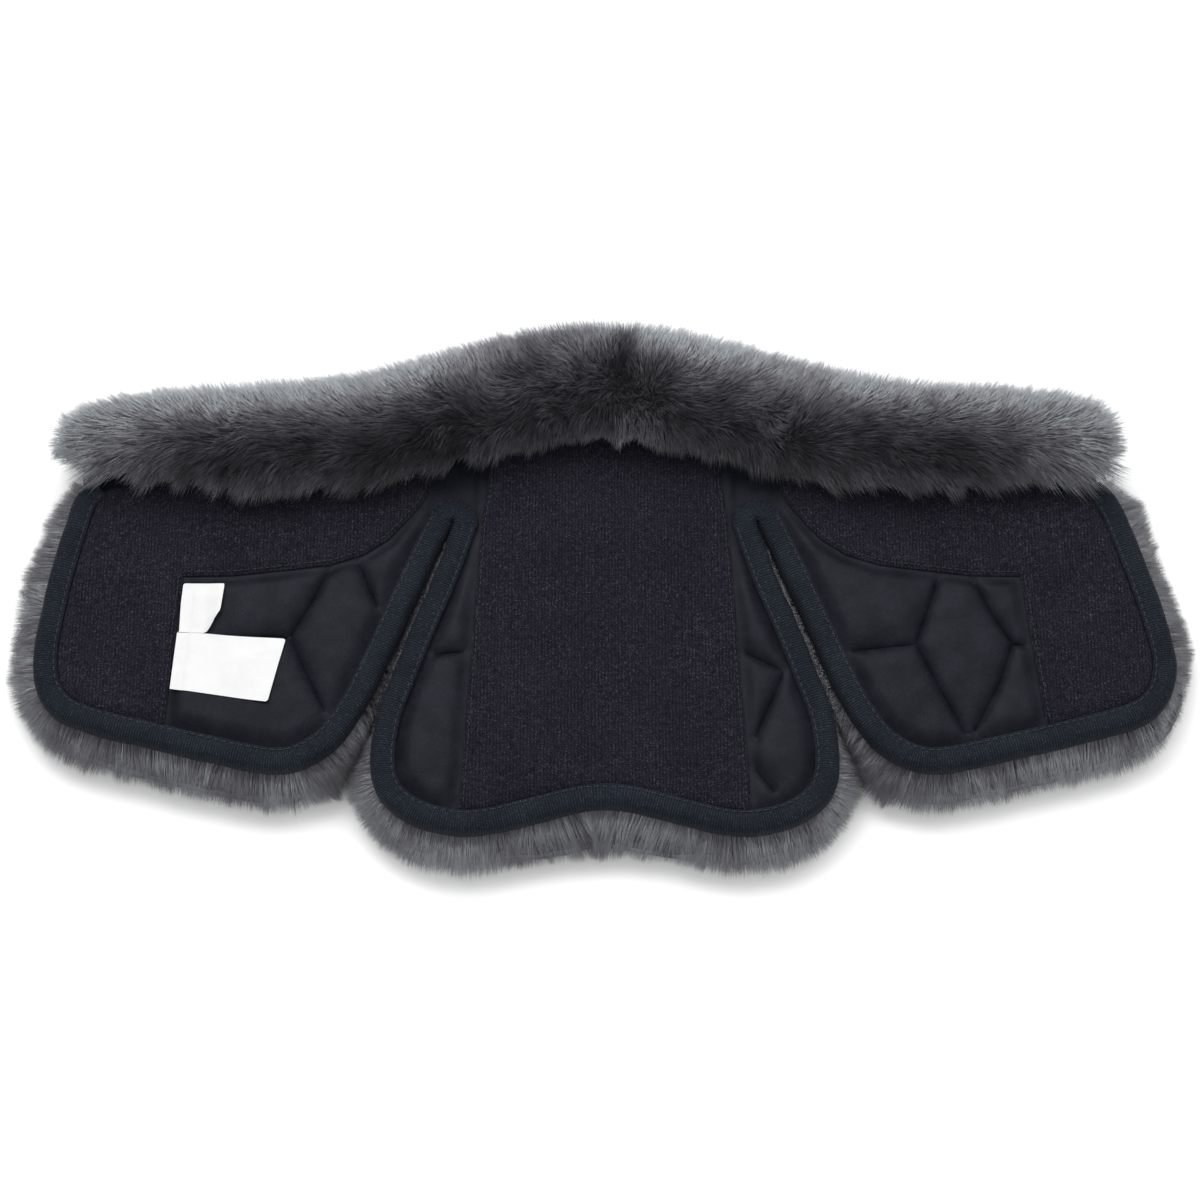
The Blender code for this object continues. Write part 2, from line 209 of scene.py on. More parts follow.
# Colours of the wool from root to tip, and how far a strand strays along them, from 0 to 1.
TONE_SPREAD = 0.06
WOOL_TONES = [
    (0.0088, 0.0084, 0.0112), (0.0195, 0.0186, 0.0238), (0.0385, 0.0370, 0.0450),
    (0.069, 0.0665, 0.0785), (0.113, 0.110, 0.126), (0.176, 0.173, 0.194), (0.262, 0.260, 0.286),
    (0.394, 0.422, 0.445),
]


def wool_materials():
    """One plain material for each tone of the wool, from the dark root to the pale tip."""
    finish = {"Sheen_Weight": 0.08, "Sheen_Roughness": 0.5, "Specular_IOR_Level": 0.12}
    return [Look(f"wool_tone_{k}", tone, 0.75, **finish).mat for k, tone in enumerate(WOOL_TONES)]


def lining_material():
    """Satin cotton: fine diagonal twill, slight sheen, faintly mottled."""
    look = Look("satin_cotton", (0.006, 0.007, 0.011), 0.58,
                Sheen_Weight=0.02, Sheen_Roughness=0.4, Specular_IOR_Level=0.12)
    grain = look.noise(1900, 2, 0.6)
    look.colour(
        look.ramp(look.noise(90, 5, 0.6),
                  (0.35, (0.0040, 0.0048, 0.0084)), (0.65, (0.0090, 0.0104, 0.0168))),
        look.ramp(look.bands(600, 1.5, "DIAGONAL"), (0.1, (0.696, 0.696, 0.728)), (0.9, (1, 1, 1))),
        look.ramp(grain, (0.35, (0.55, 0.55, 0.58)), (0.68, (1.7, 1.7, 1.65))))
    return look.bumped(grain, 0.45, 0.00016)


def loop_material():
    """Brushed loop fabric: a dark knit with fine upright wales, full of pale loose fibres."""
    look = Look("loop_velour", (0.012, 0.011, 0.018), 0.95,
                Sheen_Weight=0.03, Sheen_Roughness=0.5, Specular_IOR_Level=0.1)
    fibre, clump, wear = look.noise(1700, 3, 0.75), look.noise(420, 4, 0.6), look.noise(38, 3, 0.5)
    look.colour(
        look.ramp(fibre, (0.40, (0.0060, 0.0056, 0.0098)), (0.57, (0.0135, 0.0125, 0.0200)),
                  (0.70, (0.085, 0.082, 0.100))),
        look.ramp(clump, (0.3, (0.55, 0.55, 0.60)), (0.7, (1.35, 1.32, 1.32))),
        look.ramp(look.bands(210, 2.5, "X"), (0.15, (0.66, 0.66, 0.70)), (0.7, (1.05, 1.05, 1.05))),
        look.ramp(wear, (0.3, (0.82, 0.84, 0.88)), (0.7, (1.12, 1.08, 1.08))))
    return look.bumped(fibre, 0.9, 0.0005)


def tape_material():
    """Grosgrain binding: woven navy yarns over its ribs, with painted light on their crowns and painted
    shade between them.
    """
    look = Look("grosgrain_tape", (0.0092, 0.0126, 0.0200), 0.85,
                Sheen_Weight=0.03, Sheen_Roughness=0.45, Specular_IOR_Level=0.12)
    yarn = look.noise(1500, 3, 0.7)
    crown = look.nodes.new("ShaderNodeAttribute")
    crown.attribute_name = "crown"
    look.colour(
        look.ramp(yarn, (0.36, (0.0050, 0.0075, 0.0120)), (0.58, (0.0115, 0.0160, 0.0235)),
                  (0.74, (0.060, 0.072, 0.086))),
        # Painted light on the ribs' crowns, painted shade in the troughs between them.
        look.ramp(crown.outputs["Fac"], (0.1, (0.55, 0.53, 0.58)), (0.9, (1.36, 1.32, 1.30))),
        look.ramp(look.noise(60, 4, 0.6), (0.3, (0.75, 0.75, 0.78)), (0.7, (1.2, 1.2, 1.15))))
    return look.bumped(yarn, 0.6, 0.0003)


def thread_material():
    """Twisted polyester sewing thread."""
    look = Look("sewing_thread", (0.02, 0.024, 0.03), 0.5, Sheen_Weight=0.03, Specular_IOR_Level=0.3)
    twist = look.bands(1500, 0.5, "DIAGONAL")
    look.colour(look.ramp(twist, (0.2, (0.008, 0.010, 0.015)), (0.8, (0.030, 0.036, 0.045))))
    return look.bumped(twist, 0.5, 0.0001)


def label_material():
    """White woven satin with a fine rib across it."""
    look = Look("label_satin", (0.68, 0.68, 0.68), 0.45, Sheen_Weight=0.05)
    rib = look.bands(900, 0.3, "Y")
    look.colour(
        look.ramp(look.noise(120, 3, 0.5), (0.3, (0.645, 0.645, 0.65)), (0.7, (0.690, 0.690, 0.690))),
        look.ramp(rib, (0.1, (0.93, 0.93, 0.93)), (0.7, (1, 1, 1))))
    return look.bumped(rib, 0.4, 0.0001)


def suede_material():
    """The sueded inner face of the skin, which only shows where a flap is opened up."""
    look = Look("suede", (0.085, 0.080, 0.078), 0.9, Sheen_Weight=0.15)
    nap = look.noise(700, 5, 0.7)
    look.colour(look.ramp(nap, (0.3, (0.055, 0.052, 0.050)), (0.7, (0.12, 0.113, 0.108))))
    return look.bumped(nap, 0.7, 0.0004)


# -------------------- plan geometry

def loop_of(node):
    """Outline of a flat node's top face, counterclockwise from above."""
    mesh = NODES[node].data
    co = np.round(np.array([v.co for v in mesh.vertices]) / MM, 3)
    top = co[:, 2].max()
    keys = {}
    index = [keys.setdefault(tuple(c), len(keys)) for c in co]
    uses = {}
    for face in mesh.polygons:
        if min(co[v][2] for v in face.vertices) < top - 0.01:
            continue
        corners = [index[v] for v in face.vertices]
        for a, b in zip(corners, corners[1:] + corners[:1]):
            uses.setdefault((min(a, b), max(a, b)), []).append((a, b))
    after = dict(pairs[0] for pairs in uses.values() if len(pairs) == 1)
    run = [min(after)]
    while after[run[-1]] != run[0]:
        run.append(after[run[-1]])
    return np.array(list(keys))[run][:, :2]


def open_stretch(loop):
    """A closed loop cut open at its straight side on the fold line."""
    on = np.abs(loop[:, 1] - FOLD_Y) < 0.4
    first = next(i for i in range(len(loop)) if on[i] and on[i - 1])
    return np.roll(loop, -first, axis=0)


def clip(loop, limit, sign):
    """The part of a loop with sign * x below limit."""
    out = []
    for a, b in zip(loop, np.roll(loop, -1, axis=0)):
        fa, fb = sign * a[0] - limit, sign * b[0] - limit
        if fa <= 0:
            out.append(a)
        if fa * fb < 0:
            out.append(a + (b - a) * fa / (fa - fb))
    return np.array(out)


def run_length(line):
    """Distance along a polyline to each of its points."""
    return np.concatenate([[0], np.cumsum(np.linalg.norm(np.diff(line, axis=0), axis=1))])


def spaced(line, step):
    """Points at an even step along a polyline."""
    length = run_length(line)
    at = np.linspace(0, length[-1], max(2, round(length[-1] / step) + 1))
    return np.stack([np.interp(at, length, line[:, k]) for k in range(line.shape[1])], axis=1)


def rounded(line, step):
    """A smooth curve through the points of a line, at an even step."""
    p = np.vstack([2 * line[0] - line[1], line, 2 * line[-1] - line[-2]])
    out = []
    for i in range(1, len(p) - 2):
        for t in np.linspace(0, 1, 12, endpoint=False):
            a, b = 2 * p[i], p[i + 1] - p[i - 1]
            c = 2 * p[i - 1] - 5 * p[i] + 4 * p[i + 1] - p[i + 2]
            d = 3 * p[i] - p[i - 1] - 3 * p[i + 1] + p[i + 2]
            out.append(0.5 * (a + b * t + c * t * t + d * t ** 3))
    out.append(p[-2])
    return spaced(np.array(out), step)


def normals(line):
    """Unit normals to the right of a line, which is outwards on a counterclockwise edge."""
    step = np.gradient(line, axis=0)
    normal = np.stack([step[:, 1], -step[:, 0]], axis=1)
    return normal / np.maximum(np.linalg.norm(normal, axis=1), 1e-9)[:, None]


def inside(points, loop):
    """Which plan points lie inside a closed outline."""
    x, y = points[:, 0], points[:, 1]
    odd = np.zeros(len(points), bool)
    for (x1, y1), (x2, y2) in zip(loop, np.roll(loop, -1, axis=0)):
        if y1 != y2:
            odd ^= ((y1 > y) != (y2 > y)) & (x < (x2 - x1) * (y - y1) / (y2 - y1) + x1)
    return odd


def distance(points, line):
    """Distance of each plan point to the nearest place on a line."""
    best = np.full(len(points), 1e9)
    for a, b in zip(line[:-1], line[1:]):
        d = b - a
        t = np.clip((points - a) @ d / max(d @ d, 1e-9), 0, 1)
        best = np.minimum(best, np.linalg.norm(points - a - t[:, None] * d, axis=1))
    return best


def closed(loop):
    return np.vstack([loop, loop[:1]])


def plate(outline, step, creases=()):
    """A triangulated plan shape: its points, triangles and rim. Creases become edges of it."""
    rim = spaced(closed(outline), step)[:-1]
    lines = [spaced(np.array(c, float), step) for c in creases]
    low, high = rim.min(0), rim.max(0)
    xs, ys = np.arange(low[0], high[0], step), np.arange(low[1], high[1], step * 0.87)
    grid = np.array([(x + (j % 2) * step / 2, y) for j, y in enumerate(ys) for x in xs])
    grid = grid[inside(grid, rim)]
    grid = grid[distance(grid, closed(rim)) > 0.6 * step]
    for line in lines:
        grid = grid[distance(grid, line) > 0.6 * step]
    points, edges = list(rim), [(i, (i + 1) % len(rim)) for i in range(len(rim))]
    for line in lines:
        line = line[inside(line, rim)]
        line = line[distance(line, closed(rim)) > 0.8]
        edges += [(len(points) + i, len(points) + i + 1) for i in range(len(line) - 1)]
        points += list(line)
    points += list(grid)
    out = delaunay_2d_cdt([Vector(p) for p in points], edges, [], 1, 1e-4)
    return np.array([tuple(v) for v in out[0]]), np.array([list(t) for t in out[2]])


def rim_of(triangles):
    """The directed outer edges of a triangulation."""
    pairs = np.concatenate([triangles[:, [0, 1]], triangles[:, [1, 2]], triangles[:, [2, 0]]])
    known = {tuple(p) for p in pairs}
    return np.array([p for p in pairs if (p[1], p[0]) not in known])


# -------------------- meshes

def new_object(name, mesh, mats):
    obj = bpy.data.objects.new(name, mesh)
    bpy.context.scene.collection.objects.link(obj)
    for mat in mats:
        mesh.materials.append(mat)
    return obj


def mesh_from(name, points, faces):
    """A mesh from points in millimetres. Faces are arrays of triangles or quads."""
    mesh = bpy.data.meshes.new(name)
    mesh.vertices.add(len(points))
    mesh.vertices.foreach_set("co", (np.asarray(points) * MM).astype(np.float32).ravel())
    flat = np.concatenate([f.ravel() for f in faces])
    sizes = np.concatenate([np.full(len(f), f.shape[1]) for f in faces])
    mesh.loops.add(len(flat))
    mesh.loops.foreach_set("vertex_index", flat.astype(np.int32))
    mesh.polygons.add(len(sizes))
    starts = np.concatenate([[0], np.cumsum(sizes)[:-1]])
    mesh.polygons.foreach_set("loop_start", starts.astype(np.int32))
    mesh.polygons.foreach_set("use_smooth", np.full(len(sizes), True))
    mesh.update(calc_edges=True)
    return mesh


def read(mesh):
    """A mesh's points, in millimetres, and its normals."""
    co, no = np.empty(len(mesh.vertices) * 3, np.float32), np.empty(len(mesh.vertices) * 3, np.float32)
    mesh.vertices.foreach_get("co", co)
    mesh.vertices.foreach_get("normal", no)
    return co.reshape(-1, 3).astype(float) / MM, no.reshape(-1, 3).astype(float)


def slab(name, points, triangles, top, bottom, mats):
    """A closed sheet: the plate at its top heights, its bottom heights and a rim between. A level
    side is given as one height."""
    count = len(points)
    verts = np.vstack([np.column_stack([points, np.full(count, z)]) for z in (top, bottom)])
    rim = rim_of(triangles)
    sides = np.column_stack([rim[:, 1], rim[:, 0], rim[:, 0] + count, rim[:, 1] + count])
    mesh = mesh_from(name, verts, [triangles, triangles[:, ::-1] + count, sides])
    mesh.set_sharp_from_angle(angle=math.radians(48))
    return new_object(name, mesh, mats)


def sweep(rows):
    """Points and faces of a closed section swept through rows of equal length, with both ends
    closed round a middle point."""
    rows = np.asarray(rows, float)
    n, k = rows.shape[:2]
    i, j = np.meshgrid(np.arange(n - 1), np.arange(k), indexing="ij")
    after = (j + 1) % k
    quads = np.stack([i * k + j, i * k + after, (i + 1) * k + after, (i + 1) * k + j], -1)
    points = np.vstack([rows.reshape(-1, 3), rows[0].mean(0), rows[-1].mean(0)])
    ring = np.arange(k)
    first = np.column_stack([np.roll(ring, -1), ring, np.full(k, n * k)])
    last = np.column_stack([ring, np.roll(ring, -1), np.full(k, n * k + 1)])
    last[:, :2] += (n - 1) * k
    return points, [quads.reshape(-1, 4), first, last]


def turned_out(mesh):
    """Turns a closed mesh's faces outwards."""
    bm = bmesh.new()
    bm.from_mesh(mesh)
    if bm.calc_volume(signed=True) < 0:
        bmesh.ops.reverse_faces(bm, faces=bm.faces)
    bm.to_mesh(mesh)
    bm.free()
    return mesh


def bends(obj):
    """Bakes the object's placement into its mesh."""
    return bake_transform(obj)


def wave(points, size, seed):
    """Smooth noise from -1 to 1 at each point, with features of about this size."""
    points = np.asarray(points, float)
    flat = np.column_stack([points, np.zeros((len(points), 3 - points.shape[1]))]) / size
    cell = np.floor(flat).astype(np.int64)
    share = flat - cell
    share = share * share * (3 - 2 * share)
    total = np.zeros(len(flat))
    for corner in np.ndindex(2, 2, 2):
        x, y, z = (cell + corner).T
        key = (x * 73856093) ^ (y * 19349663) ^ (z * 83492791) ^ (int(seed) * 39916801)
        key = ((key ^ (key >> 13)) * 1274126177) & 0xFFFFFFFF
        key = ((key ^ (key >> 15)) * 2246822519) & 0xFFFFFFFF
        weight = np.prod(np.where(corner, share, 1 - share), axis=1)
        total += weight * (key / 2 ** 31 - 1)
    return total


def smoothstep(low, high, x):
    """0 at low, 1 at high and smooth between them."""
    t = np.clip((x - low) / (high - low), 0, 1)
    return t * t * (3 - 2 * t)


def bump(x, middle, width):
    """A smooth hump of height 1."""
    return np.exp(-((x - middle) / width) ** 2)


def relaxed(values, triangles):
    """Each value replaced by the mean of its neighbours'."""
    total, count = np.zeros(len(values)), np.zeros(len(values))
    for a, b in ((0, 1), (1, 2), (2, 0)):
        for i, j in ((a, b), (b, a)):
            np.add.at(total, triangles[:, i], values[triangles[:, j]])
            np.add.at(count, triangles[:, i], 1)
    return total / np.maximum(count, 1)


def vector_wave(points, size, seed):
    """Smooth noise in each direction."""
    return np.column_stack([wave(points, size, seed + 31 * k) for k in range(3)])


# -------------------- edges of the flaps

def lining_loops():
    """Outline of each side's lining: its flap and the stretch of band behind it."""
    band = loop_of("band_lining")
    parts = {
        "left": clip(band, -SLIT_X, 1),
        "centre": clip(clip(band, SLIT_X, 1), SLIT_X, -1),
        "right": clip(band, -SLIT_X, -1),
    }
    loops = {}
    for side in SIDES:
        flap = rounded(open_stretch(loop_of(f"{side}_flap_lining")), 2.0)
        loops[side] = (flap, open_stretch(parts[side]))
    return loops


def tape_edges(loops):
    """Outer edge of each binding, counterclockwise, from the band's end or a slit round the flap."""
    edges = {}
    for side in SIDES:
        flap, band = loops[side]
        edge = flap + normals(flap) * TAPE_OVERLAP
        edge[0, 0], edge[-1, 0] = flap[0, 0] - TAPE_OVERLAP, flap[-1, 0] + TAPE_OVERLAP
        ends = band[band[:, 1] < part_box("left_band_binding")[1].y / MM + 0.1]
        if side == "left":
            outer = ends[ends[:, 0] < -WING_X] - (TAPE_OVERLAP, 0)
            edge = np.vstack([outer[:-1], edge])
        if side == "right":
            outer = ends[ends[:, 0] > WING_X] + (TAPE_OVERLAP, 0)
            edge = np.vstack([edge, outer[1:]])
        edges[side] = rounded(edge[::4] if side == "centre" else edge, 0.3)
    return edges


# -------------------- lining, panels, skin

# How far behind the fold the roll covers the lining.
UNDER_ROLL = 14.0


def held_down(points, side, loops, panel, crease):
    """Which points of a lining are sewn or pressed down: at its rim, under the tape and the loop
    panel, along the quilting and under the roll."""
    flap, band = loops[side]
    rim = closed(np.vstack([flap, band]))
    held = distance(points, rim) < TAPE_WIDTH - TAPE_OVERLAP - 0.8
    held |= inside(points, panel)
    held |= distance(points, closed(panel)) < 0.4
    held |= crease < 0.3
    held |= points[:, 1] > FOLD_Y + UNDER_ROLL
    return np.flatnonzero(held)


# The lining's cloth: how many frames are simulated, the pressure under it, and the share by which
# it is cut larger than the flap, so that it swells between its stitches.
CLOTH_FRAMES = 24
CLOTH_PRESSURE = 4
CLOTH_EXTRA = 0.012


def inflate(pieces):
    """Cloth simulation of the lining's fabric, swelling between the stitches that hold it down.
    Pieces are (object, indices of held points). The result is each object's new heights."""
    scene = bpy.context.scene
    scene.gravity = (0, 0, 9.81)
    for obj, held in pieces:
        group = obj.vertex_groups.new(name="held")
        group.add(held, 1.0, "REPLACE")
        cloth = obj.modifiers.new("cloth", "CLOTH")
        settings = cloth.settings
        settings.quality = 6
        settings.mass = 0.1
        settings.vertex_group_mass = "held"
        settings.tension_stiffness = 20
        settings.compression_stiffness = 20
        settings.shear_stiffness = 8
        settings.bending_stiffness = 1.5
        settings.shrink_min = -CLOTH_EXTRA
        settings.use_pressure = True
        settings.uniform_pressure_force = CLOTH_PRESSURE
        cloth.collision_settings.use_self_collision = False
        cloth.point_cache.frame_end = CLOTH_FRAMES
    for number in range(1, CLOTH_FRAMES + 1):
        scene.frame_set(number)
    graph = bpy.context.evaluated_depsgraph_get()
    heights = [read(obj.evaluated_get(graph).data)[0][:, 2] for obj, _ in pieces]
    for obj, _ in pieces:
        obj.modifiers.clear()
    scene.frame_set(1)
    return heights


def flat_size(points, triangles):
    a, b, c = (points[triangles[:, k]] * MM for k in range(3))
    cross = (b - a)[:, 0] * (c - a)[:, 1] - (b - a)[:, 1] * (c - a)[:, 0]
    return {"flat": tuple(np.ptp(points, axis=0) * MM), "area": float(np.abs(cross).sum() / 2)}


def make_linings(loops, panels, mat):
    """The quilted pads: satin cotton over wadding, swollen between the sewn lines."""
    shapes, pieces = {}, []
    for side in SIDES:
        flap, band = loops[side]
        points, triangles = plate(np.vstack([flap, band]), LINING_STEP, QUILTING[side])
        crease = np.min([distance(points, np.array(line, float)) for line in QUILTING[side]], axis=0)
        held = held_down(points, side, loops, panels[side], crease)
        mesh = mesh_from(side, np.column_stack([points, np.full(len(points), PAD_TOP)]), [triangles])
        obj = new_object(f"{side}_lining_cloth", mesh, [])
        shapes[side] = (points, triangles, crease)
        pieces.append((obj, held.tolist()))
    heights = inflate(pieces)
    pads = {}
    for side, (cloth, _), height in zip(SIDES, pieces, heights):
        points, triangles, crease = shapes[side]
        top = pillows(points, triangles, height, crease, side, loops, panels[side])
        name = f"{side}_quilted_lining"
        obj = slab(name, points, triangles, top, PAD_BOTTOM, [mat])
        nodes = [f"{side}_flap_lining", f"{side}_flap_wadding"]
        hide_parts(*nodes, *(("band_lining", "band_wadding") if side == "centre" else ()))
        bends(obj)
        pads[side] = (points, triangles, top)
        bpy.data.objects.remove(cloth)
    return pads


def pillows(points, triangles, height, crease, side, loops, panel):
    """Heights of a quilted pad: the swollen cloth, smoothed, over full pillows with sharp seams."""
    rise = np.clip(height - PAD_TOP, -0.2, PILLOW_RISE)
    for _ in range(3):
        rise = 0.4 * rise + 0.6 * relaxed(rise, triangles)
    tape = distance(points, closed(np.vstack(loops[side]))) - (TAPE_WIDTH - TAPE_OVERLAP)
    beside = distance(points, closed(panel)) * ~inside(points, panel)
    free = smoothstep(0.0, 7.0, tape) * smoothstep(0.2, 7.0, beside)
    away = np.minimum(crease, 9.0) / 9.0
    dome = 1.9 * np.sqrt(np.clip(away * (2 - away), 0, 1)) * free
    seam = 1.3 * np.exp(-crease / 1.5) * smoothstep(0.0, 4.0, tape) * smoothstep(0.2, 3.0, beside)
    hem = 0.8 * smoothstep(3.5, 0.0, tape) * (beside > 1.0)
    return PAD_TOP + 0.8 * rise * free + dome - seam - hem


def panel_outlines():
    out = {}
    for side in SIDES:
        flap = open_stretch(loop_of(f"{side}_flap_loop_panel"))
        band = open_stretch(loop_of(f"{side}_band_loop_panel"))
        out[side] = np.vstack([flap, band])
    return out


def make_panels(outlines, mat):
    """The loop panels: brushed fabric laid on the lining and sewn along its free edges."""
    made = {}
    for k, side in enumerate(SIDES):
        points, triangles = plate(outlines[side], PANEL_STEP)
        rim = distance(points, closed(outlines[side]))
        top = PANEL_TOP + 0.35 * wave(points, 22, 3 + k) + 0.12 * wave(points, 6, 9 + k)
        top += 0.5 * np.exp(-((rim - 4.5) / 2.5) ** 2)
        top -= 0.9 * np.exp(-(rim / 1.2) ** 2)
        obj = slab(f"{side}_loop_panel", points, triangles, top, PANEL_BOTTOM, [mat])
        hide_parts(f"{side}_flap_loop_panel", f"{side}_band_loop_panel")
        made[side] = (bends(obj), flat_size(points, triangles))
    return made


def make_skins(loops, mat):
    """The leather under each flap's wadding."""
    made = {}
    for side in SIDES:
        flap, _ = loops[side]
        points, triangles = plate(flap[::2], SKIN_STEP)
        obj = slab(f"{side}_skin", points, triangles, SKIN_TOP, SKIN_BOTTOM, [mat])
        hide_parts(f"{side}_flap_skin")
        made[side] = (bends(obj), flat_size(points, triangles))
    return made


# -------------------- binding and stitches

# Section of the folded tape, from its lower edge round its wall and over its top: distance in
# from the flap's edge, and height.
TAPE_SECTION = [
    (0.9, 20.9), (0.1, 21.8), (-0.25, 24.5), (0.0, 27.3), (0.8, 29.2), (2.4, 30.2), (4.6, 30.55),
    (6.6, 30.3), (8.1, 29.7), (9.0, 29.2), (9.8, 29.4), (10.4, 29.0), (10.6, 28.2), (10.2, 27.6),
    (6.0, 27.5), (1.4, 27.4), (1.3, 24.0), (1.3, 22.2), (6.5, 22.1), (6.8, 21.4), (6.0, 20.9),
]
TAPE_GROOVE = 29.45
RIB_PITCH = 1.2
RIB_HEIGHT = 0.24
# The first points of the section are its wall. All before the twelfth can be seen.
WALL_POINTS, OUTER_POINTS = 5, 12
TURN_RADIUS = 0.5
TURN_RIBS = 26
LOCKSTITCH = {"pitch": 3.6, "length": 3.0, "radius": 0.27}
PANEL_STITCH = {"pitch": 2.9, "length": 2.2, "radius": 0.2}
PANEL_STITCH_INSET = 1.7
# The panels' stitches stop this far from the tape, and this far behind the fold.
STITCH_CLEAR, STITCH_END = 2.2, 22.0


def tape_rows(edge, seed):
    """The tape's section along an edge, ribbed across and slightly uneven along."""
    normal = normals(edge)
    along = run_length(edge)
    rib = RIB_HEIGHT * np.cos(2 * np.pi * along / RIB_PITCH)
    swell = 0.35 * wave(edge, 9.0, seed)
    lift = 0.3 * wave(edge, 14.0, seed + 5)
    rows = []
    for i, (point, n) in enumerate(zip(edge, normal)):
        row = []
        for k, (u, z) in enumerate(TAPE_SECTION):
            outer = 0 < k < OUTER_POINTS
            side = (rib[i] + swell[i]) * outer if k < WALL_POINTS else swell[i] * outer * 0.6
            up = (rib[i] + lift[i]) * outer if k > WALL_POINTS - 2 else 0.0
            x, y = point - n * (u - side)
            row.append((x, y, z + up))
        rows.append(row)
    return np.array(rows)


def make_tape(name, rows, crown, mat):
    """A piece of tape swept through its rows. Crown says how near each row is to a rib's crown, from 0 to
    1, for the painted light on the crowns in the material."""
    points, faces = sweep(rows)
    mesh = turned_out(mesh_from(name, points, faces))
    values = np.concatenate([np.repeat(crown, len(TAPE_SECTION)), crown[[0, -1]]])
    layer = mesh.attributes.new("crown", "FLOAT", "POINT")
    layer.data.foreach_set("value", values.astype(np.float32))
    return new_object(name, mesh, [mat])


def make_bindings(edges, mat):
    for k, side in enumerate(SIDES):
        # Painted light on each rib's crown, read by the material.
        crown = 0.5 + 0.5 * np.cos(2 * np.pi * run_length(edges[side]) / RIB_PITCH)
        obj = make_tape(f"{side}_binding", tape_rows(edges[side], 20 + k), crown, mat)
        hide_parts(f"{side}_flap_binding", *([] if side == "centre" else [f"{side}_band_binding"]))
        bends(obj)
    for side, sign in (("left", -1), ("right", 1)):
        slant = math.radians(SLIT_SLANT) * sign
        angle = np.linspace(math.pi + slant, slant, 70)
        turn = TURN_RADIUS * np.column_stack([np.cos(angle), np.sin(angle)]) + (sign * SLIT_X, FOLD_Y)
        # Faint painted light on the crowns of the turn's ribs.
        crown = 0.45 + 0.12 * np.cos(angle * TURN_RIBS)
        obj = make_tape(f"{side}_slit_turn", turn_rows(turn, angle), crown, mat)
        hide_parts(f"{side}_slit_binding")
        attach(obj, "band")


def turn_rows(edge, angle):
    """The tape folded round the top of a slit: plain towards the fold, faintly ribbed outside."""
    rows = []
    for point, a in zip(edge, angle):
        out = np.array([math.cos(a), math.sin(a)])
        fold = 0.6 * math.exp(-((a - math.pi / 2) / 0.3) ** 2) - 0.2
        row = []
        for k, (u, z) in enumerate(TAPE_SECTION):
            top = WALL_POINTS <= k < OUTER_POINTS
            rib = 0.5 * RIB_HEIGHT * math.cos(a * TURN_RIBS) * smoothstep(3.0, 8.0, u)
            sag = 1.6 * smoothstep(6.0, 10.0, u)
            up = (rib - sag + fold * smoothstep(1.0, 4.0, u)) * top
            row.append((*(point + out * max(u, 0.0)), z + up))
        rows.append(row)
    return np.array(rows)


def stitch_row(line, height, pitch, length, radius, rng):
    """A row of separate stitches along a plan line at a height: their points and faces."""
    stations = np.array([-0.5, -0.32, 0.0, 0.32, 0.5])
    swell = np.array([0.35, 0.95, 1.0, 0.95, 0.35])
    sink = np.array([-1.5, -0.25, 0.15, -0.25, -1.5])
    ring = np.arange(6) * math.pi / 3
    row = []
    path = spaced(line, pitch)
    for a, b in zip(path[:-1], path[1:]):
        turn = rng.normal(0, 0.05)
        d = (b - a) / max(np.linalg.norm(b - a), 1e-9)
        d = np.array([d[0] - d[1] * turn, d[1] + d[0] * turn])
        across = np.array([-d[1], d[0]])
        own = length * rng.uniform(0.9, 1.08)
        sections = []
        for s, w, z in zip(stations, swell, sink):
            centre = (a + b) / 2 + d * s * own
            r = radius * w
            sections.append([(*(centre + across * r * math.cos(t)),
                              height + z * radius + r * math.sin(t)) for t in ring])
        row.append(sweep(sections))
    return row


def make_stitches(edges, outlines, mat):
    """Lockstitch along each binding, and a finer row along each loop panel's free edges: those
    away from the binding and in front of the roll."""
    for k, side in enumerate(SIDES):
        edge = edges[side]
        inner = edge - normals(edge) * STITCH_INSET
        stitches = stitch_row(inner[2:-2], TAPE_GROOVE, **LOCKSTITCH, rng=np.random.default_rng(40 + k))
        panel = spaced(closed(outlines[side]), 1.0)
        panel = panel - normals(panel) * PANEL_STITCH_INSET
        free = (distance(panel, edge) > TAPE_WIDTH + STITCH_CLEAR) & (panel[:, 1] < FOLD_Y + STITCH_END)
        rng = np.random.default_rng(50 + k)
        for run in split_where(panel, free):
            stitches += stitch_row(run, PANEL_TOP + 0.2, **PANEL_STITCH, rng=rng)
        obj = new_object(f"{side}_stitching", joined(f"{side}_stitches", stitches), [mat])
        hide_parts(f"{side}_flap_stitching")
        bends(obj)


def split_where(line, keep):
    """The stretches of a line that keep says to keep, without the shortest."""
    runs = [[]]
    for point, kept in zip(line, keep):
        if kept:
            runs[-1].append(point)
        else:
            runs.append([])
    return [np.array(run) for run in runs if len(run) > 3]


def joined(name, pieces):
    """One mesh from a list of (points, faces)."""
    faces, base = [], 0
    for points, own in pieces:
        faces += [f + base for f in own]
        base += len(points)
    return turned_out(mesh_from(name, np.vstack([points for points, _ in pieces]), faces))


# -------------------- wool

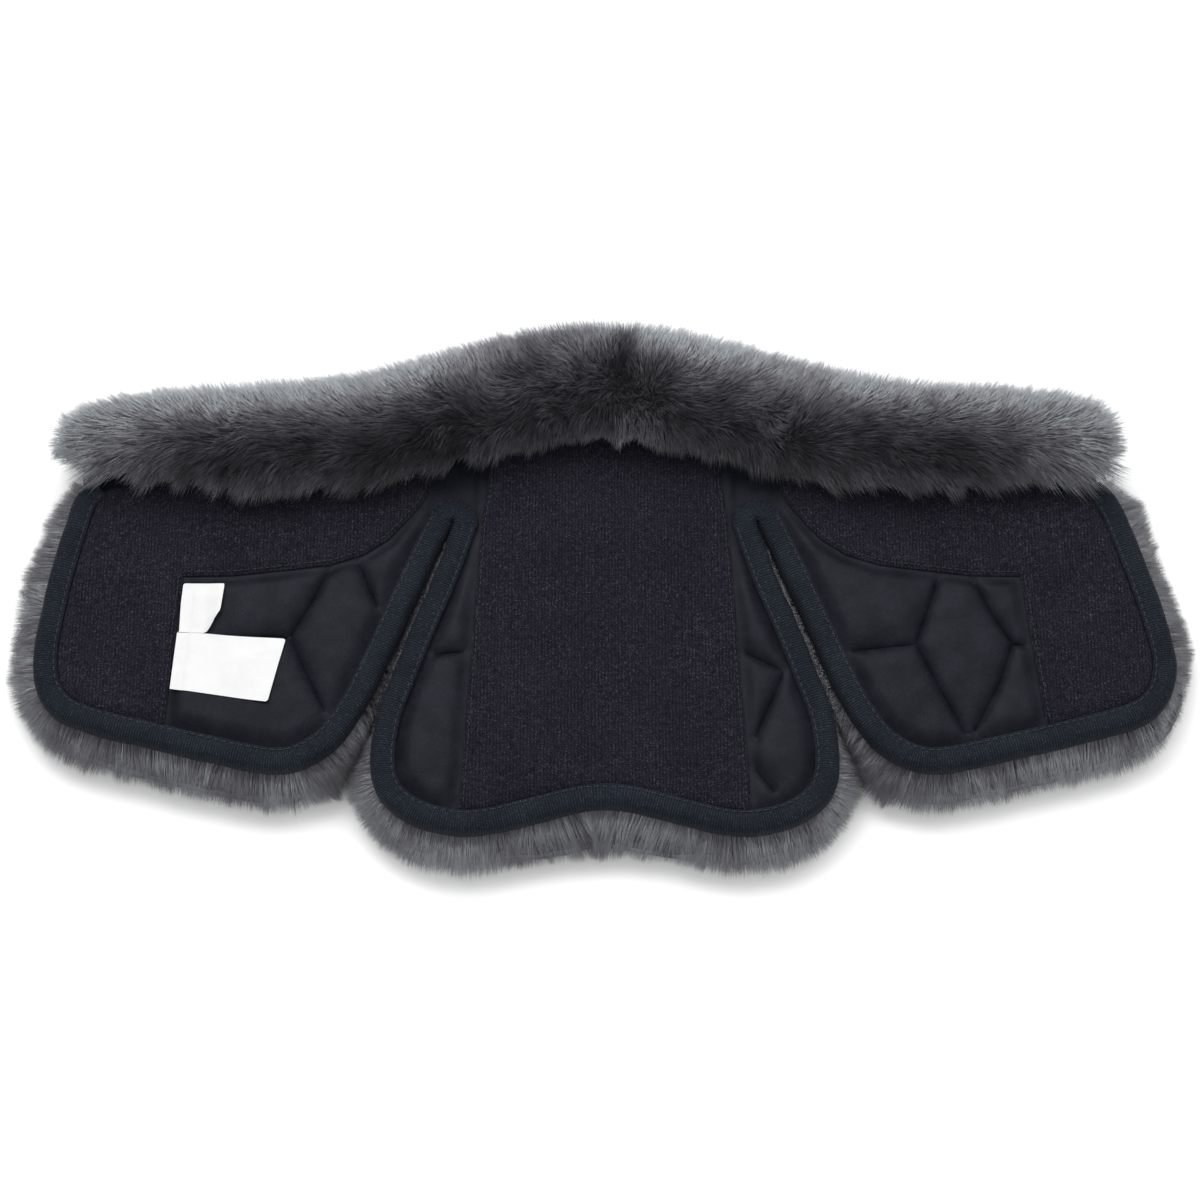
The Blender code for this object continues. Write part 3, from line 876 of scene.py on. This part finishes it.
def wool_strands(name, strands, root_share, mats, seed):
    """A mesh of tapered three-sided strands. Each has a root, middle and tip, the control points
    of its curve, a width, and its tone at the tip, from 0, darkest, to 1. Its root has a share of
    that tone."""
    root, middle, tip, width, pale = strands
    rng = np.random.default_rng(seed)
    count = len(root)
    axis = tip - root
    axis /= np.maximum(np.linalg.norm(axis, axis=1), 1e-9)[:, None]
    u = np.cross(axis, rng.normal(size=(count, 3)))
    u /= np.linalg.norm(u, axis=1)[:, None]
    v = np.cross(axis, u)
    waist = 0.25 * root + 0.5 * middle + 0.25 * tip
    points = np.empty((count, 7, 3))
    for r, (centre, thin) in enumerate(((root, 1.0), (waist, 0.8))):
        for s in range(3):
            a = 2 * math.pi * s / 3
            spoke = u * math.cos(a) + v * math.sin(a)
            points[:, 3 * r + s] = centre + spoke * (width * thin / 2)[:, None]
    points[:, 6] = tip
    points[:, :, 2] = np.maximum(points[:, :, 2], FLOOR_GAP / 2)
    quads = np.array([[s, (s + 1) % 3, 3 + (s + 1) % 3, 3 + s] for s in range(3)])
    ends = np.array([[3 + s, 3 + (s + 1) % 3, 6] for s in range(3)])
    base = (np.arange(count) * 7)[:, None, None]
    faces = [(quads[None] + base).reshape(-1, 4), (ends[None] + base).reshape(-1, 3)]
    mesh = mesh_from(name, points.reshape(-1, 3), faces)
    spread = rng.normal(0, TONE_SPREAD, size=count)
    upper = np.clip(pale, 0, 1) + spread
    lower = 0.6 * (np.clip(root_share * pale, 0, 1) + spread) + 0.4 * upper
    scale = len(WOOL_TONES) - 1
    index = np.round(np.repeat(np.concatenate([lower, upper]), 3) * scale)
    mesh.polygons.foreach_set("material_index", np.clip(index, 0, scale).astype(np.int32))
    return new_object(name, mesh, mats)


def locks(root, tip, size, pull, seed):
    """Draws the tips of neighbouring strands together into locks of about this many, as those of a
    fleece are. Gives the new tips, and the strand that leads each one's lock."""
    rng = np.random.default_rng(seed)
    count = max(8, int(len(root) / size))
    leaders = rng.choice(len(root), count, replace=False)
    tree = kdtree.KDTree(count)
    for k, i in enumerate(leaders):
        tree.insert(root[i], k)
    tree.balance()
    nearest = leaders[[tree.find(p)[1] for p in root]]
    share = (pull * rng.uniform(0.5, 1.1, len(root)))[:, None]
    return tip + (tip[nearest] - tip) * share, nearest


def make_solid(meshes, voxel):
    """A voxel copy of several closed meshes as one, smoothed."""
    bm = bmesh.new()
    for mesh in meshes:
        bm.from_mesh(mesh)
    mesh = bpy.data.meshes.new("solid")
    bm.to_mesh(mesh)
    bm.free()
    obj = bpy.data.objects.new("solid", mesh)
    bpy.context.scene.collection.objects.link(obj)
    remesh = obj.modifiers.new("remesh", "REMESH")
    remesh.mode = "VOXEL"
    remesh.voxel_size = voxel * MM
    soften = obj.modifiers.new("soften", "SMOOTH")
    soften.factor = 0.5
    soften.iterations = 4
    graph = bpy.context.evaluated_depsgraph_get()
    result = bpy.data.meshes.new_from_object(obj.evaluated_get(graph))
    bpy.data.objects.remove(obj)
    return result


def shrunk(mesh, depth, side_depth, rough, seed):
    """The mesh drawn in along its normals, by depth where it is level and by side_depth where it is
    upright, with lumps."""
    co, no = read(mesh)
    lumps = rough * wave(co, 7.0, seed) + 0.6 * rough * wave(co, 3.0, seed + 1)
    upright = 1 - np.abs(no[:, 2])
    co = co - no * (depth + (side_depth - depth) * upright + lumps)[:, None]
    co[:, 2] = np.maximum(co[:, 2], FLOOR_GAP)
    mesh.vertices.foreach_set("co", (co * MM).astype(np.float32).ravel())
    mesh.shade_smooth()
    mesh.update()
    return mesh


def scatter(mesh, count, seed, keep):
    """Random points on a mesh with their normals, in millimetres, where keep says so."""
    rng = np.random.default_rng(seed)
    mesh.calc_loop_triangles()
    tris = np.empty(len(mesh.loop_triangles) * 3, np.int32)
    mesh.loop_triangles.foreach_get("vertices", tris)
    tris = tris.reshape(-1, 3)
    co, no = read(mesh)
    kept = keep(co[tris].mean(1), no[tris].mean(1))
    tris = tris[kept > 0]
    kept = kept[kept > 0]
    a, b, c = (co[tris[:, k]] for k in range(3))
    area = np.linalg.norm(np.cross(b - a, c - a), axis=1) / 2 * kept
    pick = rng.choice(len(tris), count, p=area / area.sum())
    s, t = np.sqrt(rng.random(count)), rng.random(count)
    w = np.column_stack([1 - s, s * (1 - t), s * t])[:, :, None]
    points = (co[tris[pick]] * w).sum(1)
    normal = (no[tris[pick]] * w).sum(1)
    return points, normal / np.linalg.norm(normal, axis=1)[:, None]


# -------------------- the rolled edge

ROLL_FOOT = 30.0
ROLL_VOXEL = 4.0
ROLL_CORE_DEPTH = 7.0
ROLL_STRANDS = 150000
ROLL_PILE = 14.0
PARTING_X = 5.0
PARTING_WIDTH = 17.0
ROLL_WIDTH = (0.20, 0.36)
ROLL_LOCKS = (14, 0.30)
# Where the roll's strands are cut into separate meshes.
ROLL_CUTS = (-185, -125, -65, PARTING_X, 65, 120, 175)

# Painted light and shade on the roll's tips, from its near edge at 0 to its far edge at 1: paler towards
# the far edge, which faces the light, and darkest about a quarter of the way across, painted shade where
# the pile opens.
ROLL_PAINTED_LIGHT = [
    (0.0, 0.66), (0.05, 0.56), (0.12, 0.36), (0.24, 0.29), (0.34, 0.37), (0.44, 0.52), (0.54, 0.70),
    (0.66, 0.92), (0.8, 1.02), (1.0, 1.05),
]
# Painted light on the tips at the roll's two ends, left and right.
LEFT_END_LIT, RIGHT_END_LIT = 0.98, 1.12
ROLL_ROOT_SHARE = 0.58


def roll_limits(mesh):
    """Near and far edge of the roll's body as functions of x, and its two ends, from its mesh."""
    co = np.array([v.co for v in mesh.vertices]) / MM
    co = co[co[:, 2] > ROLL_FOOT]
    left, right = co[:, 0].min(), co[:, 0].max()
    xs = np.linspace(left + 6, right - 6, 48)
    rows = [co[np.abs(co[:, 0] - x) < 6][:, 1] for x in xs]
    near, far = [row.min() for row in rows], [row.max() for row in rows]
    return lambda x: (np.interp(x, xs, near), np.interp(x, xs, far)), (left, right)


def roll_light_and_tone(points, across, outer, seed):
    """Painted light and shade on the tips: paler at the far edge and at both ends, which catch the light,
    painted shade where the pile opens in front of them and at the parting, and random tone over all.
    """
    x = points[:, 0]
    pale = np.interp(across, *zip(*ROLL_PAINTED_LIGHT))
    ends = smoothstep(0.70, 0.98, outer) * smoothstep(-0.3, 0.25, across)
    pale += (np.where(x < 0, LEFT_END_LIT, RIGHT_END_LIT) - pale) * 0.9 * ends
    pale += 0.10 * smoothstep(0.45, 0.75, outer) * (x < 0)
    pale += 0.30 * bump(x, 10, 10) * smoothstep(0.3, 0.05, across)
    pale -= 0.36 * bump(x, -22, 42) * smoothstep(0.38, 0.6, across) * smoothstep(1.0, 0.84, across)
    pale -= 0.04 * smoothstep(-20, -60, x) * smoothstep(0.6, 0.4, across)
    # Painted shade where the pile parts.
    parting_shade = smoothstep(0.98, 0.86, across) * smoothstep(0.3, 0.5, across)
    pale -= 0.42 * bump(x, PARTING_X + 3, 4.5) * parting_shade
    return pale + 0.13 * wave(points, 24, seed) + 0.12 * wave(points, 8, seed + 3)


def roll_comb(points, normal, across, outer, front):
    """The way each strand is combed: out of the roll, away from the parting and towards the ends,
    backwards behind and down in front, with waves."""
    x = points[:, 0]
    back = smoothstep(0.35, 0.8, across)
    fan = 0.5 * np.tanh((x - PARTING_X) / PARTING_WIDTH) * (1 - 0.45 * back)
    fan += np.sign(x) * (0.2 * outer + 0.6 * outer ** 3)
    comb = normal * 0.8
    comb[:, 0] += fan * (1 - 0.25 * front)
    comb[:, 1] += 0.40 * back - 0.45 * front
    comb[:, 2] += 0.10 * back - 0.42 * front
    comb += 0.42 * vector_wave(points, 18, 63) + 0.22 * vector_wave(points, 7, 64)
    return comb / np.linalg.norm(comb, axis=1)[:, None]


def roll_lengths(points, outer, front, rng):
    """Length of each strand: uneven along the near edge and longer at both ends."""
    uneven = wave(points[:, :2] / (1, 3), 7, 68)
    length = ROLL_PILE * rng.uniform(0.55, 1.15, len(points)) * (1 + 0.2 * smoothstep(0.85, 1.0, outer))
    length *= 1 + front * (0.45 * uneven - 0.15)
    return length * (1 + 0.5 * front * smoothstep(0.8, 0.92, outer))


def roll_trim(points, tip, near, across, outer):
    """The share of each strand that is left where the near wool ends, at a wavy line."""
    x = points[:, 0]
    line = near - ROLL_CORE_DEPTH - 5.5 * smoothstep(18, 75, np.abs(x)) + 3.5 * wave(x[:, None], 8, 69)
    line -= 7.0 * smoothstep(0.82, 0.93, outer)
    share = np.clip((points[:, 1] - line) / np.maximum(points[:, 1] - tip[:, 1], 1e-6), 0.1, 1)
    return np.where((tip[:, 1] < line) & (across < 0.5), share, 1.0)


def make_roll(core_mat, wool):
    names = ["left_roll_wool", "right_roll_wool", "left_roll_filling", "right_roll_filling"]
    solid = make_solid([NODES[name].data for name in names], ROLL_VOXEL)
    mesh = shrunk(solid, ROLL_CORE_DEPTH, ROLL_CORE_DEPTH, 1.2, 61)
    mesh.name = "roll_underwool"
    core = new_object("roll_underwool", mesh, [core_mat])
    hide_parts(*names, "left_roll_skin", "right_roll_skin")
    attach(core, "band")
    limits, (left_end, right_end) = roll_limits(mesh)

    def density(centre, normal):
        below = normal[:, 2] < -0.3
        return np.where(below & (centre[:, 2] > 20), 0.0, np.where(below, 0.3, 1.0))

    points, normal = scatter(mesh, ROLL_STRANDS, 62, density)
    x = points[:, 0]
    near, far = limits(x)
    across = (points[:, 1] - near) / (far - near)
    outer = np.where(x < 0, x / left_end, x / right_end)
    front = smoothstep(0.28, 0.0, across) * (normal[:, 1] < 0.2)
    comb = roll_comb(points, normal, across, outer, front)
    rng = np.random.default_rng(65)
    length = roll_lengths(points, outer, front, rng)
    tip = points + comb * length[:, None]
    tip[:, 2] -= 0.16 * length
    tip += rng.normal(0, 1.0, tip.shape)
    tip, leader = locks(points, tip, *ROLL_LOCKS, 66)
    left = roll_trim(points, tip, near, across, outer)
    tip = points + (tip - points) * left[:, None]
    length *= left
    middle = points + comb * (0.5 * length)[:, None] + normal * (0.16 * length)[:, None]
    lowest = np.where(tip[:, 1] < near + 12, TAPE_CROWN, FLOOR_GAP)
    for control in (tip, middle):
        control[:, 2] = np.maximum(control[:, 2], lowest)
    pale = roll_light_and_tone(points, across, outer, 67) + 0.05 * rng.normal(size=len(points))[leader]
    width = rng.uniform(*ROLL_WIDTH, len(points))
    zone = np.searchsorted(ROLL_CUTS, x, side="right")
    for k in range(len(ROLL_CUTS) + 1):
        at = zone == k
        strands = [values[at] for values in (points, middle, tip, width, pale)]
        obj = wool_strands(f"roll_wool_{k + 1}", strands, ROLL_ROOT_SHARE, wool, 70 + k)
        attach(obj, "band")


# -------------------- wool under the flaps

FRINGE_PER_MM = 95.0
FRINGE_WIDTH = (0.22, 0.38)
FRINGE_LOCKS = (10, 0.14)
FRINGE_DEPTH = (1.5, 4.5)
FRINGE_LEVEL = (2.0, 20.4)
SLIT_TIP_LEVEL = (15.0, 27.5)
BED_STRANDS = 7000
BED_WIDTH = (0.7, 1.1)
BED_LENGTH = (8, 13)
BED_LOCKS = (12, 0.5)
BED_MARGIN = 6.5
BED_VOXEL = 3.0
BED_CORE_DEPTH, BED_SIDE_DEPTH = 2.6, 16.5

# How far the loose pile stands out from the pressed one: less along the front, where it is
# tucked under, more at the two sides, from the corner to the fold, and more where two flaps'
# piles meet in front of a slit.
FRONT_TUCK = 5.2
SLIT_FILL = {"left": 5.5, "centre": 3.5, "right": 5.5}
SIDE_Y = (-62, -50, -40, -20, 2, 16, 30, 47)
SIDE_REACH = {
    "left": (0, 1.5, 3, 2, 5.5, 7.5, 7.5, 8), "centre": (0,) * 8, "right": (-11, -6, -3, 2, 2, 3, 8, 15),
}

# How pale the tips are, and the painted shade that darkens them in the slits and at the sides; a negative
# slit shade is painted light that makes them paler there.
FRINGE_PALE = {"left": 0.87, "centre": 0.90, "right": 0.87}
SLIT_SHADE = {"left": 0.12, "centre": 0.03, "right": -0.06}
SIDE_SHADE = {"left": 0.07, "centre": 0.0, "right": 0.0}
FRINGE_ROOT_SHARE = 0.88
BED_ROOT_SHARE = 0.5

# The pile's outline under a flap's edge: height, and the share of its full reach there.
PILE_Z = (0.0, 1.5, 5.0, 10.0, 15.0, 18.5, 21.0)
PILE_SHARE = (0.66, 0.84, 0.97, 1.0, 0.86, 0.5, 0.15)


def part_of_band(side):
    """The stretch of the band's wool behind one flap, closed at its cuts."""
    bm = bmesh.new()
    bm.from_mesh(NODES["band_wool"].data)
    bmesh.ops.remove_doubles(bm, verts=bm.verts, dist=1e-6)
    cuts = {"left": [(-1, 1)], "centre": [(-1, -1), (1, 1)], "right": [(1, -1)]}[side]
    for at, away in cuts:
        everything = bm.verts[:] + bm.edges[:] + bm.faces[:]
        cut = bmesh.ops.bisect_plane(
            bm, geom=everything, plane_co=(at * SLIT_X * MM, 0, 0),
            plane_no=(away, 0, 0), clear_outer=True)
        rim = [e for e in cut["geom_cut"] if isinstance(e, bmesh.types.BMEdge)]
        bmesh.ops.holes_fill(bm, edges=rim)
    mesh = bpy.data.meshes.new("band_part")
    bm.to_mesh(mesh)
    bm.free()
    return mesh


def reach_of(side, edge):
    """How far the CAD wool stands out past each point of an edge."""
    verts, polys = [], []
    for name in (f"{side}_flap_wool", "band_wool"):
        mesh = NODES[name].data
        base = len(verts)
        verts += [v.co / MM for v in mesh.vertices]
        polys += [[base + i for i in p.vertices] for p in mesh.polygons]
    tree = BVHTree.FromPolygons(verts, polys)
    out, last = [], 10.0
    for point, n in zip(edge, normals(edge)):
        hit = tree.ray_cast(Vector((*point, 9.9)), Vector((*n, 0)), 30)
        if hit[0] is not None and hit[3] > 0.02:
            last = hit[3]
        out.append(last)
    return np.convolve(np.pad(out, 8, "edge"), np.ones(17) / 17, "valid")


def slit_wedge(line):
    """How near each point of an edge is to the wedge of floor in front of a slit, from 0 to 1."""
    off, y = np.abs(line[:, 0]), line[:, 1]
    return (smoothstep(88, 97, off) * smoothstep(140, 126, off)
            * smoothstep(-50, -64, y) * smoothstep(-95, -85, y))


def loose_reach(side, line, normal, outward, wedge):
    """How far the loose wool stands out past each point of an edge. Outward says how much it faces
    the cover's side, and wedge how near it is to the floor in front of a slit."""
    reach = reach_of(side, line)
    reach = reach + outward * (reach > 5) * np.interp(line[:, 1], SIDE_Y, SIDE_REACH[side])
    tuck = FRONT_TUCK * (1 - 0.9 * np.maximum(bump(line[:, 0], -3, 34), wedge))
    reach = np.maximum(reach - tuck * np.clip(-normal[:, 1], 0, 1) * (reach > 5), 0.8)
    return reach + SLIT_FILL[side] * wedge


def make_fringe(side, edge, wool, seed):
    """The wool that shows round a flap: strands that leave from under the binding."""
    rng = np.random.default_rng(seed)
    line = edge[::4]
    normal = normals(line)
    along = run_length(line)
    outward = np.clip(normal[:, 0] * (-1 if side == "left" else 1), 0, 1) ** 2
    wedge = slit_wedge(line)
    reach = loose_reach(side, line, normal, outward, wedge)
    weight = np.clip(reach / 12, 0.3, 1.15)
    chance = np.cumsum(weight) / weight.sum()
    count = int(along[-1] * FRINGE_PER_MM * weight.mean())
    s = np.interp(rng.random(count), chance, along)

    def at_root(values):
        return np.interp(s, along, values)

    point = np.column_stack([at_root(line[:, 0]), at_root(line[:, 1])])
    out = np.column_stack([at_root(normal[:, 0]), at_root(normal[:, 1])])
    out /= np.linalg.norm(out, axis=1)[:, None]
    far = at_root(reach)
    tangent = np.column_stack([-out[:, 1], out[:, 0]])
    depth = rng.uniform(*FRINGE_DEPTH, count)
    level = rng.uniform(*FRINGE_LEVEL, count)
    placed = np.column_stack([point, level])
    narrow = smoothstep(7.0, 2.0, far)
    flare = smoothstep(15.0, 7.0, far) * smoothstep(-30, -60, point[:, 1])
    tip_z = np.clip(0.86 * level + rng.normal(0.4, 1.4, count), 0.4, 20.5)
    tip_z = np.where(rng.random(count) < narrow, rng.uniform(*SLIT_TIP_LEVEL, count), tip_z)
    extent = far * np.interp(tip_z, PILE_Z, PILE_SHARE) * (1.04 - 0.45 * rng.random(count) ** 1.4)
    extent = np.maximum(extent, rng.uniform(1.2, 2.6, count))
    sway = 0.32 * wave(point, 12, seed + 1) + 0.20 * wave(placed, 4.0, seed + 2)
    root = np.column_stack([point - out * depth[:, None], level])
    side_step = sway * (extent + 3) + rng.normal(0, 0.5, count)
    extent *= 1 + 0.10 * wave(placed / (1, 1, 2), 6.0, seed + 6)
    tip = np.column_stack([point + out * extent[:, None] + tangent * side_step[:, None], tip_z])
    tip[:, 1] -= narrow * rng.uniform(0.5, 5, count) + flare * rng.uniform(1, 9, count)
    tip, leader = locks(root, tip, *FRINGE_LOCKS, seed + 3)
    middle = root * 0.5 + tip * 0.5
    middle[:, 2] = np.maximum(level, tip[:, 2]) + 0.5 * (level < 18)
    upright = (tip[:, 2] > 20.6)[:, None]
    middle = np.where(upright, tip - (0, 0, 3), middle)
    # Painted shade in the narrow slits, in the wedge in front of each slit and at the left side, with
    # painted light in the right slit, over random tone.
    pale = FRINGE_PALE[side] - SLIT_SHADE[side] * narrow + 0.08 * wave(point, 18, seed + 4)
    pale += 0.05 * rng.normal(size=count)[leader] + 0.10 * wave(placed, 5.0, seed + 7)
    pale -= 0.07 * at_root(wedge) + SIDE_SHADE[side] * at_root(outward)
    width = rng.uniform(*FRINGE_WIDTH, count)
    half = s < np.median(s)
    for part, at in (("back", half), ("front", ~half)):
        strands = [values[at] for values in (root, middle, tip, width, pale)]
        obj = wool_strands(f"{side}_fringe_{part}", strands, FRINGE_ROOT_SHARE, wool, seed + 5)
        bends(obj)


def make_bed(side, edge, core_mat, wool, seed):
    """The underside: a dense bed of wool, pressed flat by the floor."""
    solid = make_solid([NODES[f"{side}_flap_wool"].data, part_of_band(side)], BED_VOXEL)
    mesh = shrunk(solid, BED_CORE_DEPTH, BED_SIDE_DEPTH, 0.8, seed)
    mesh.name = f"{side}_underwool"
    core = new_object(f"{side}_underwool", mesh, [core_mat])
    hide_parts(f"{side}_flap_wool", *(("band_wool",) if side == "centre" else ()))
    points, _ = scatter(mesh, BED_STRANDS, seed + 1, lambda centre, normal: 1.0 * (normal[:, 2] < -0.3))
    plan = points[:, :2]
    front = plan[:, 1] < FOLD_Y
    points = points[~front | (inside(plan, edge) & (distance(plan, edge) > BED_MARGIN))]
    rng = np.random.default_rng(seed + 2)
    flow = 0.9 * vector_wave(points, 14, seed + 3) + (0, -0.7, 0)
    flow[:, 0] += 0.4 * np.sign(points[:, 0])
    flow[:, 2] = 0
    flow /= np.linalg.norm(flow, axis=1)[:, None]
    length = rng.uniform(*BED_LENGTH, len(points))
    tip = points + flow * length[:, None]
    tip[:, 2] = rng.uniform(0.3, 1.6, len(points))
    tip, leader = locks(points, tip, *BED_LOCKS, seed + 4)
    middle = points + flow * (0.35 * length)[:, None]
    middle[:, 2] = np.maximum(points[:, 2] - 2.2, 0.5)
    pale = 0.72 + 0.12 * wave(points, 18, seed + 5) + 0.06 * rng.normal(size=len(points))[leader]
    width = rng.uniform(*BED_WIDTH, len(points))
    strands = (points, middle, tip, width, pale)
    obj = wool_strands(f"{side}_bed_wool", strands, BED_ROOT_SHARE, wool, seed + 6)
    bends(core)
    bends(obj)


# -------------------- labels

LABEL_FLOOR = 29.1
LABEL_GAP = 0.15
LABEL_THICKNESS = 0.22


def height_over(points, triangles, top):
    """The height of a pad's top face as a function of plan points."""
    tree = BVHTree.FromPolygons([Vector((*p, z)) for p, z in zip(points, top)], triangles.tolist())

    def height(plan):
        hits = [tree.ray_cast(Vector((x, y, 60)), Vector((0, 0, -1))) for x, y in plan]
        return np.array([PAD_TOP if h[0] is None else h[0].z for h in hits])
    return height


def make_label(name, height, mat, curl, seed, below=None):
    """A woven label sewn along its left edge, lying on the lining with a curling free edge. Its
    lower edge meets the edge that below gives as a function of x."""
    outline = spaced(closed(loop_of(name)), 1.5)[:-1]
    if below is not None:
        met = below(outline[:, 0]) + LABEL_GAP
        low = outline[:, 1] < outline[:, 1].mean()
        share = low * smoothstep(3.5, 8.0, outline[:, 0].max() - outline[:, 0])
        outline[:, 1] += (met - outline[:, 1]) * share
    points, triangles = plate(outline, LABEL_STEP)
    left = points[:, 0].min()
    share = (points[:, 0] - left) / np.ptp(points[:, 0])
    rest = np.maximum(height(points) + 0.3, LABEL_FLOOR)
    for _ in range(60):
        rest = np.maximum(rest, relaxed(rest, triangles))
        rest = 0.5 * rest + 0.5 * relaxed(rest, triangles)
    rest = np.maximum(rest, height(points) + 0.25)
    low = (points[:, 1] - points[:, 1].min()) / np.ptp(points[:, 1])
    lift = curl * smoothstep(0.55, 1.0, share) * (1 - 0.6 * low) ** 1.5
    top = rest + lift + 0.15 * wave(points, 12, seed)
    obj = slab(f"{name}_woven", points, triangles, top + LABEL_THICKNESS, top, [mat])
    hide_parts(name)
    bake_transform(obj)


def top_edge(name):
    """A label's upper edge as a function of x."""
    outline = loop_of(name)
    upper = outline[outline[:, 1] > outline[:, 1].mean()]
    upper = upper[np.argsort(upper[:, 0])]
    return lambda x: np.interp(x, upper[:, 0], upper[:, 1])


# -------------------- studio

# Lamps: name, place in metres, width in metres and power in watts.
LAMPS = (
    ("key", (-0.65, 1.35, 2.0), 1.6, 41), ("side", (0.9, 1.1, 1.9), 1.5, 16),
    ("front", (0.0, -1.3, 2.0), 1.8, 9),
)
SKY_STRENGTH = 0.66
# The photo's camera: degrees above the floor, and in metres its target and distance.
CAMERA_ELEVATION = 68
CAMERA_TARGET = Vector((-0.00225, -0.003, 0.025))
CAMERA_DISTANCE = 1.4
CAMERA_LENS = 93.3


def make_studio():
    """A pale floor, soft light and the camera above the front of the flaps."""
    scene = bpy.context.scene
    scene.view_settings.view_transform = "Standard"
    bpy.ops.mesh.primitive_plane_add(size=12, location=(0, 0, -0.0002))
    floor = bpy.context.active_object
    floor.name = "floor"
    floor.data.materials.append(Look("floor", (0.97, 0.97, 0.97), 0.9).mat)
    world = bpy.data.worlds.new("studio")
    scene.world = world
    world.use_nodes = True
    background = world.node_tree.nodes["Background"]
    background.inputs["Color"].default_value = (1, 1, 1, 1)
    background.inputs["Strength"].default_value = SKY_STRENGTH
    for name, place, size, power in LAMPS:
        lamp = bpy.data.lights.new(name, "AREA")
        lamp.energy = power
        lamp.size = size
        obj = bpy.data.objects.new(name, lamp)
        scene.collection.objects.link(obj)
        obj.location = place
        obj.rotation_euler = (-Vector(place)).to_track_quat("-Z", "Y").to_euler()
    camera = bpy.data.objects.new("camera", bpy.data.cameras.new("camera"))
    scene.collection.objects.link(camera)
    up = math.radians(CAMERA_ELEVATION)
    camera.location = CAMERA_TARGET + CAMERA_DISTANCE * Vector((0, -math.cos(up), math.sin(up)))
    camera.rotation_euler = (CAMERA_TARGET - camera.location).to_track_quat("-Z", "Y").to_euler()
    camera.data.sensor_width = 36
    camera.data.lens = CAMERA_LENS
    camera.data.clip_start = 0.05
    scene.camera = camera


# -------------------- everything

def main():
    make_studio()
    wool = wool_materials()
    underwool, lining, loop = pile_material(), lining_material(), loop_material()
    tape, thread, label, suede = tape_material(), thread_material(), label_material(), suede_material()
    loops = lining_loops()
    edges = tape_edges(loops)
    outlines = panel_outlines()
    pads = make_linings(loops, outlines, lining)
    height = height_over(*pads["left"])
    panels, skins = make_panels(outlines, loop), make_skins(loops, suede)
    make_bindings(edges, tape)
    make_stitches(edges, outlines, thread)
    make_roll(underwool, wool)
    for k, side in enumerate(SIDES):
        make_fringe(side, edges[side], wool, 100 + 20 * k)
        make_bed(side, edges[side][::8], underwool, wool, 200 + 20 * k)
    make_label("size_label", height, label, curl=4.0, seed=301, below=top_edge("maker_label"))
    make_label("maker_label", height, label, curl=1.2, seed=302)


main()
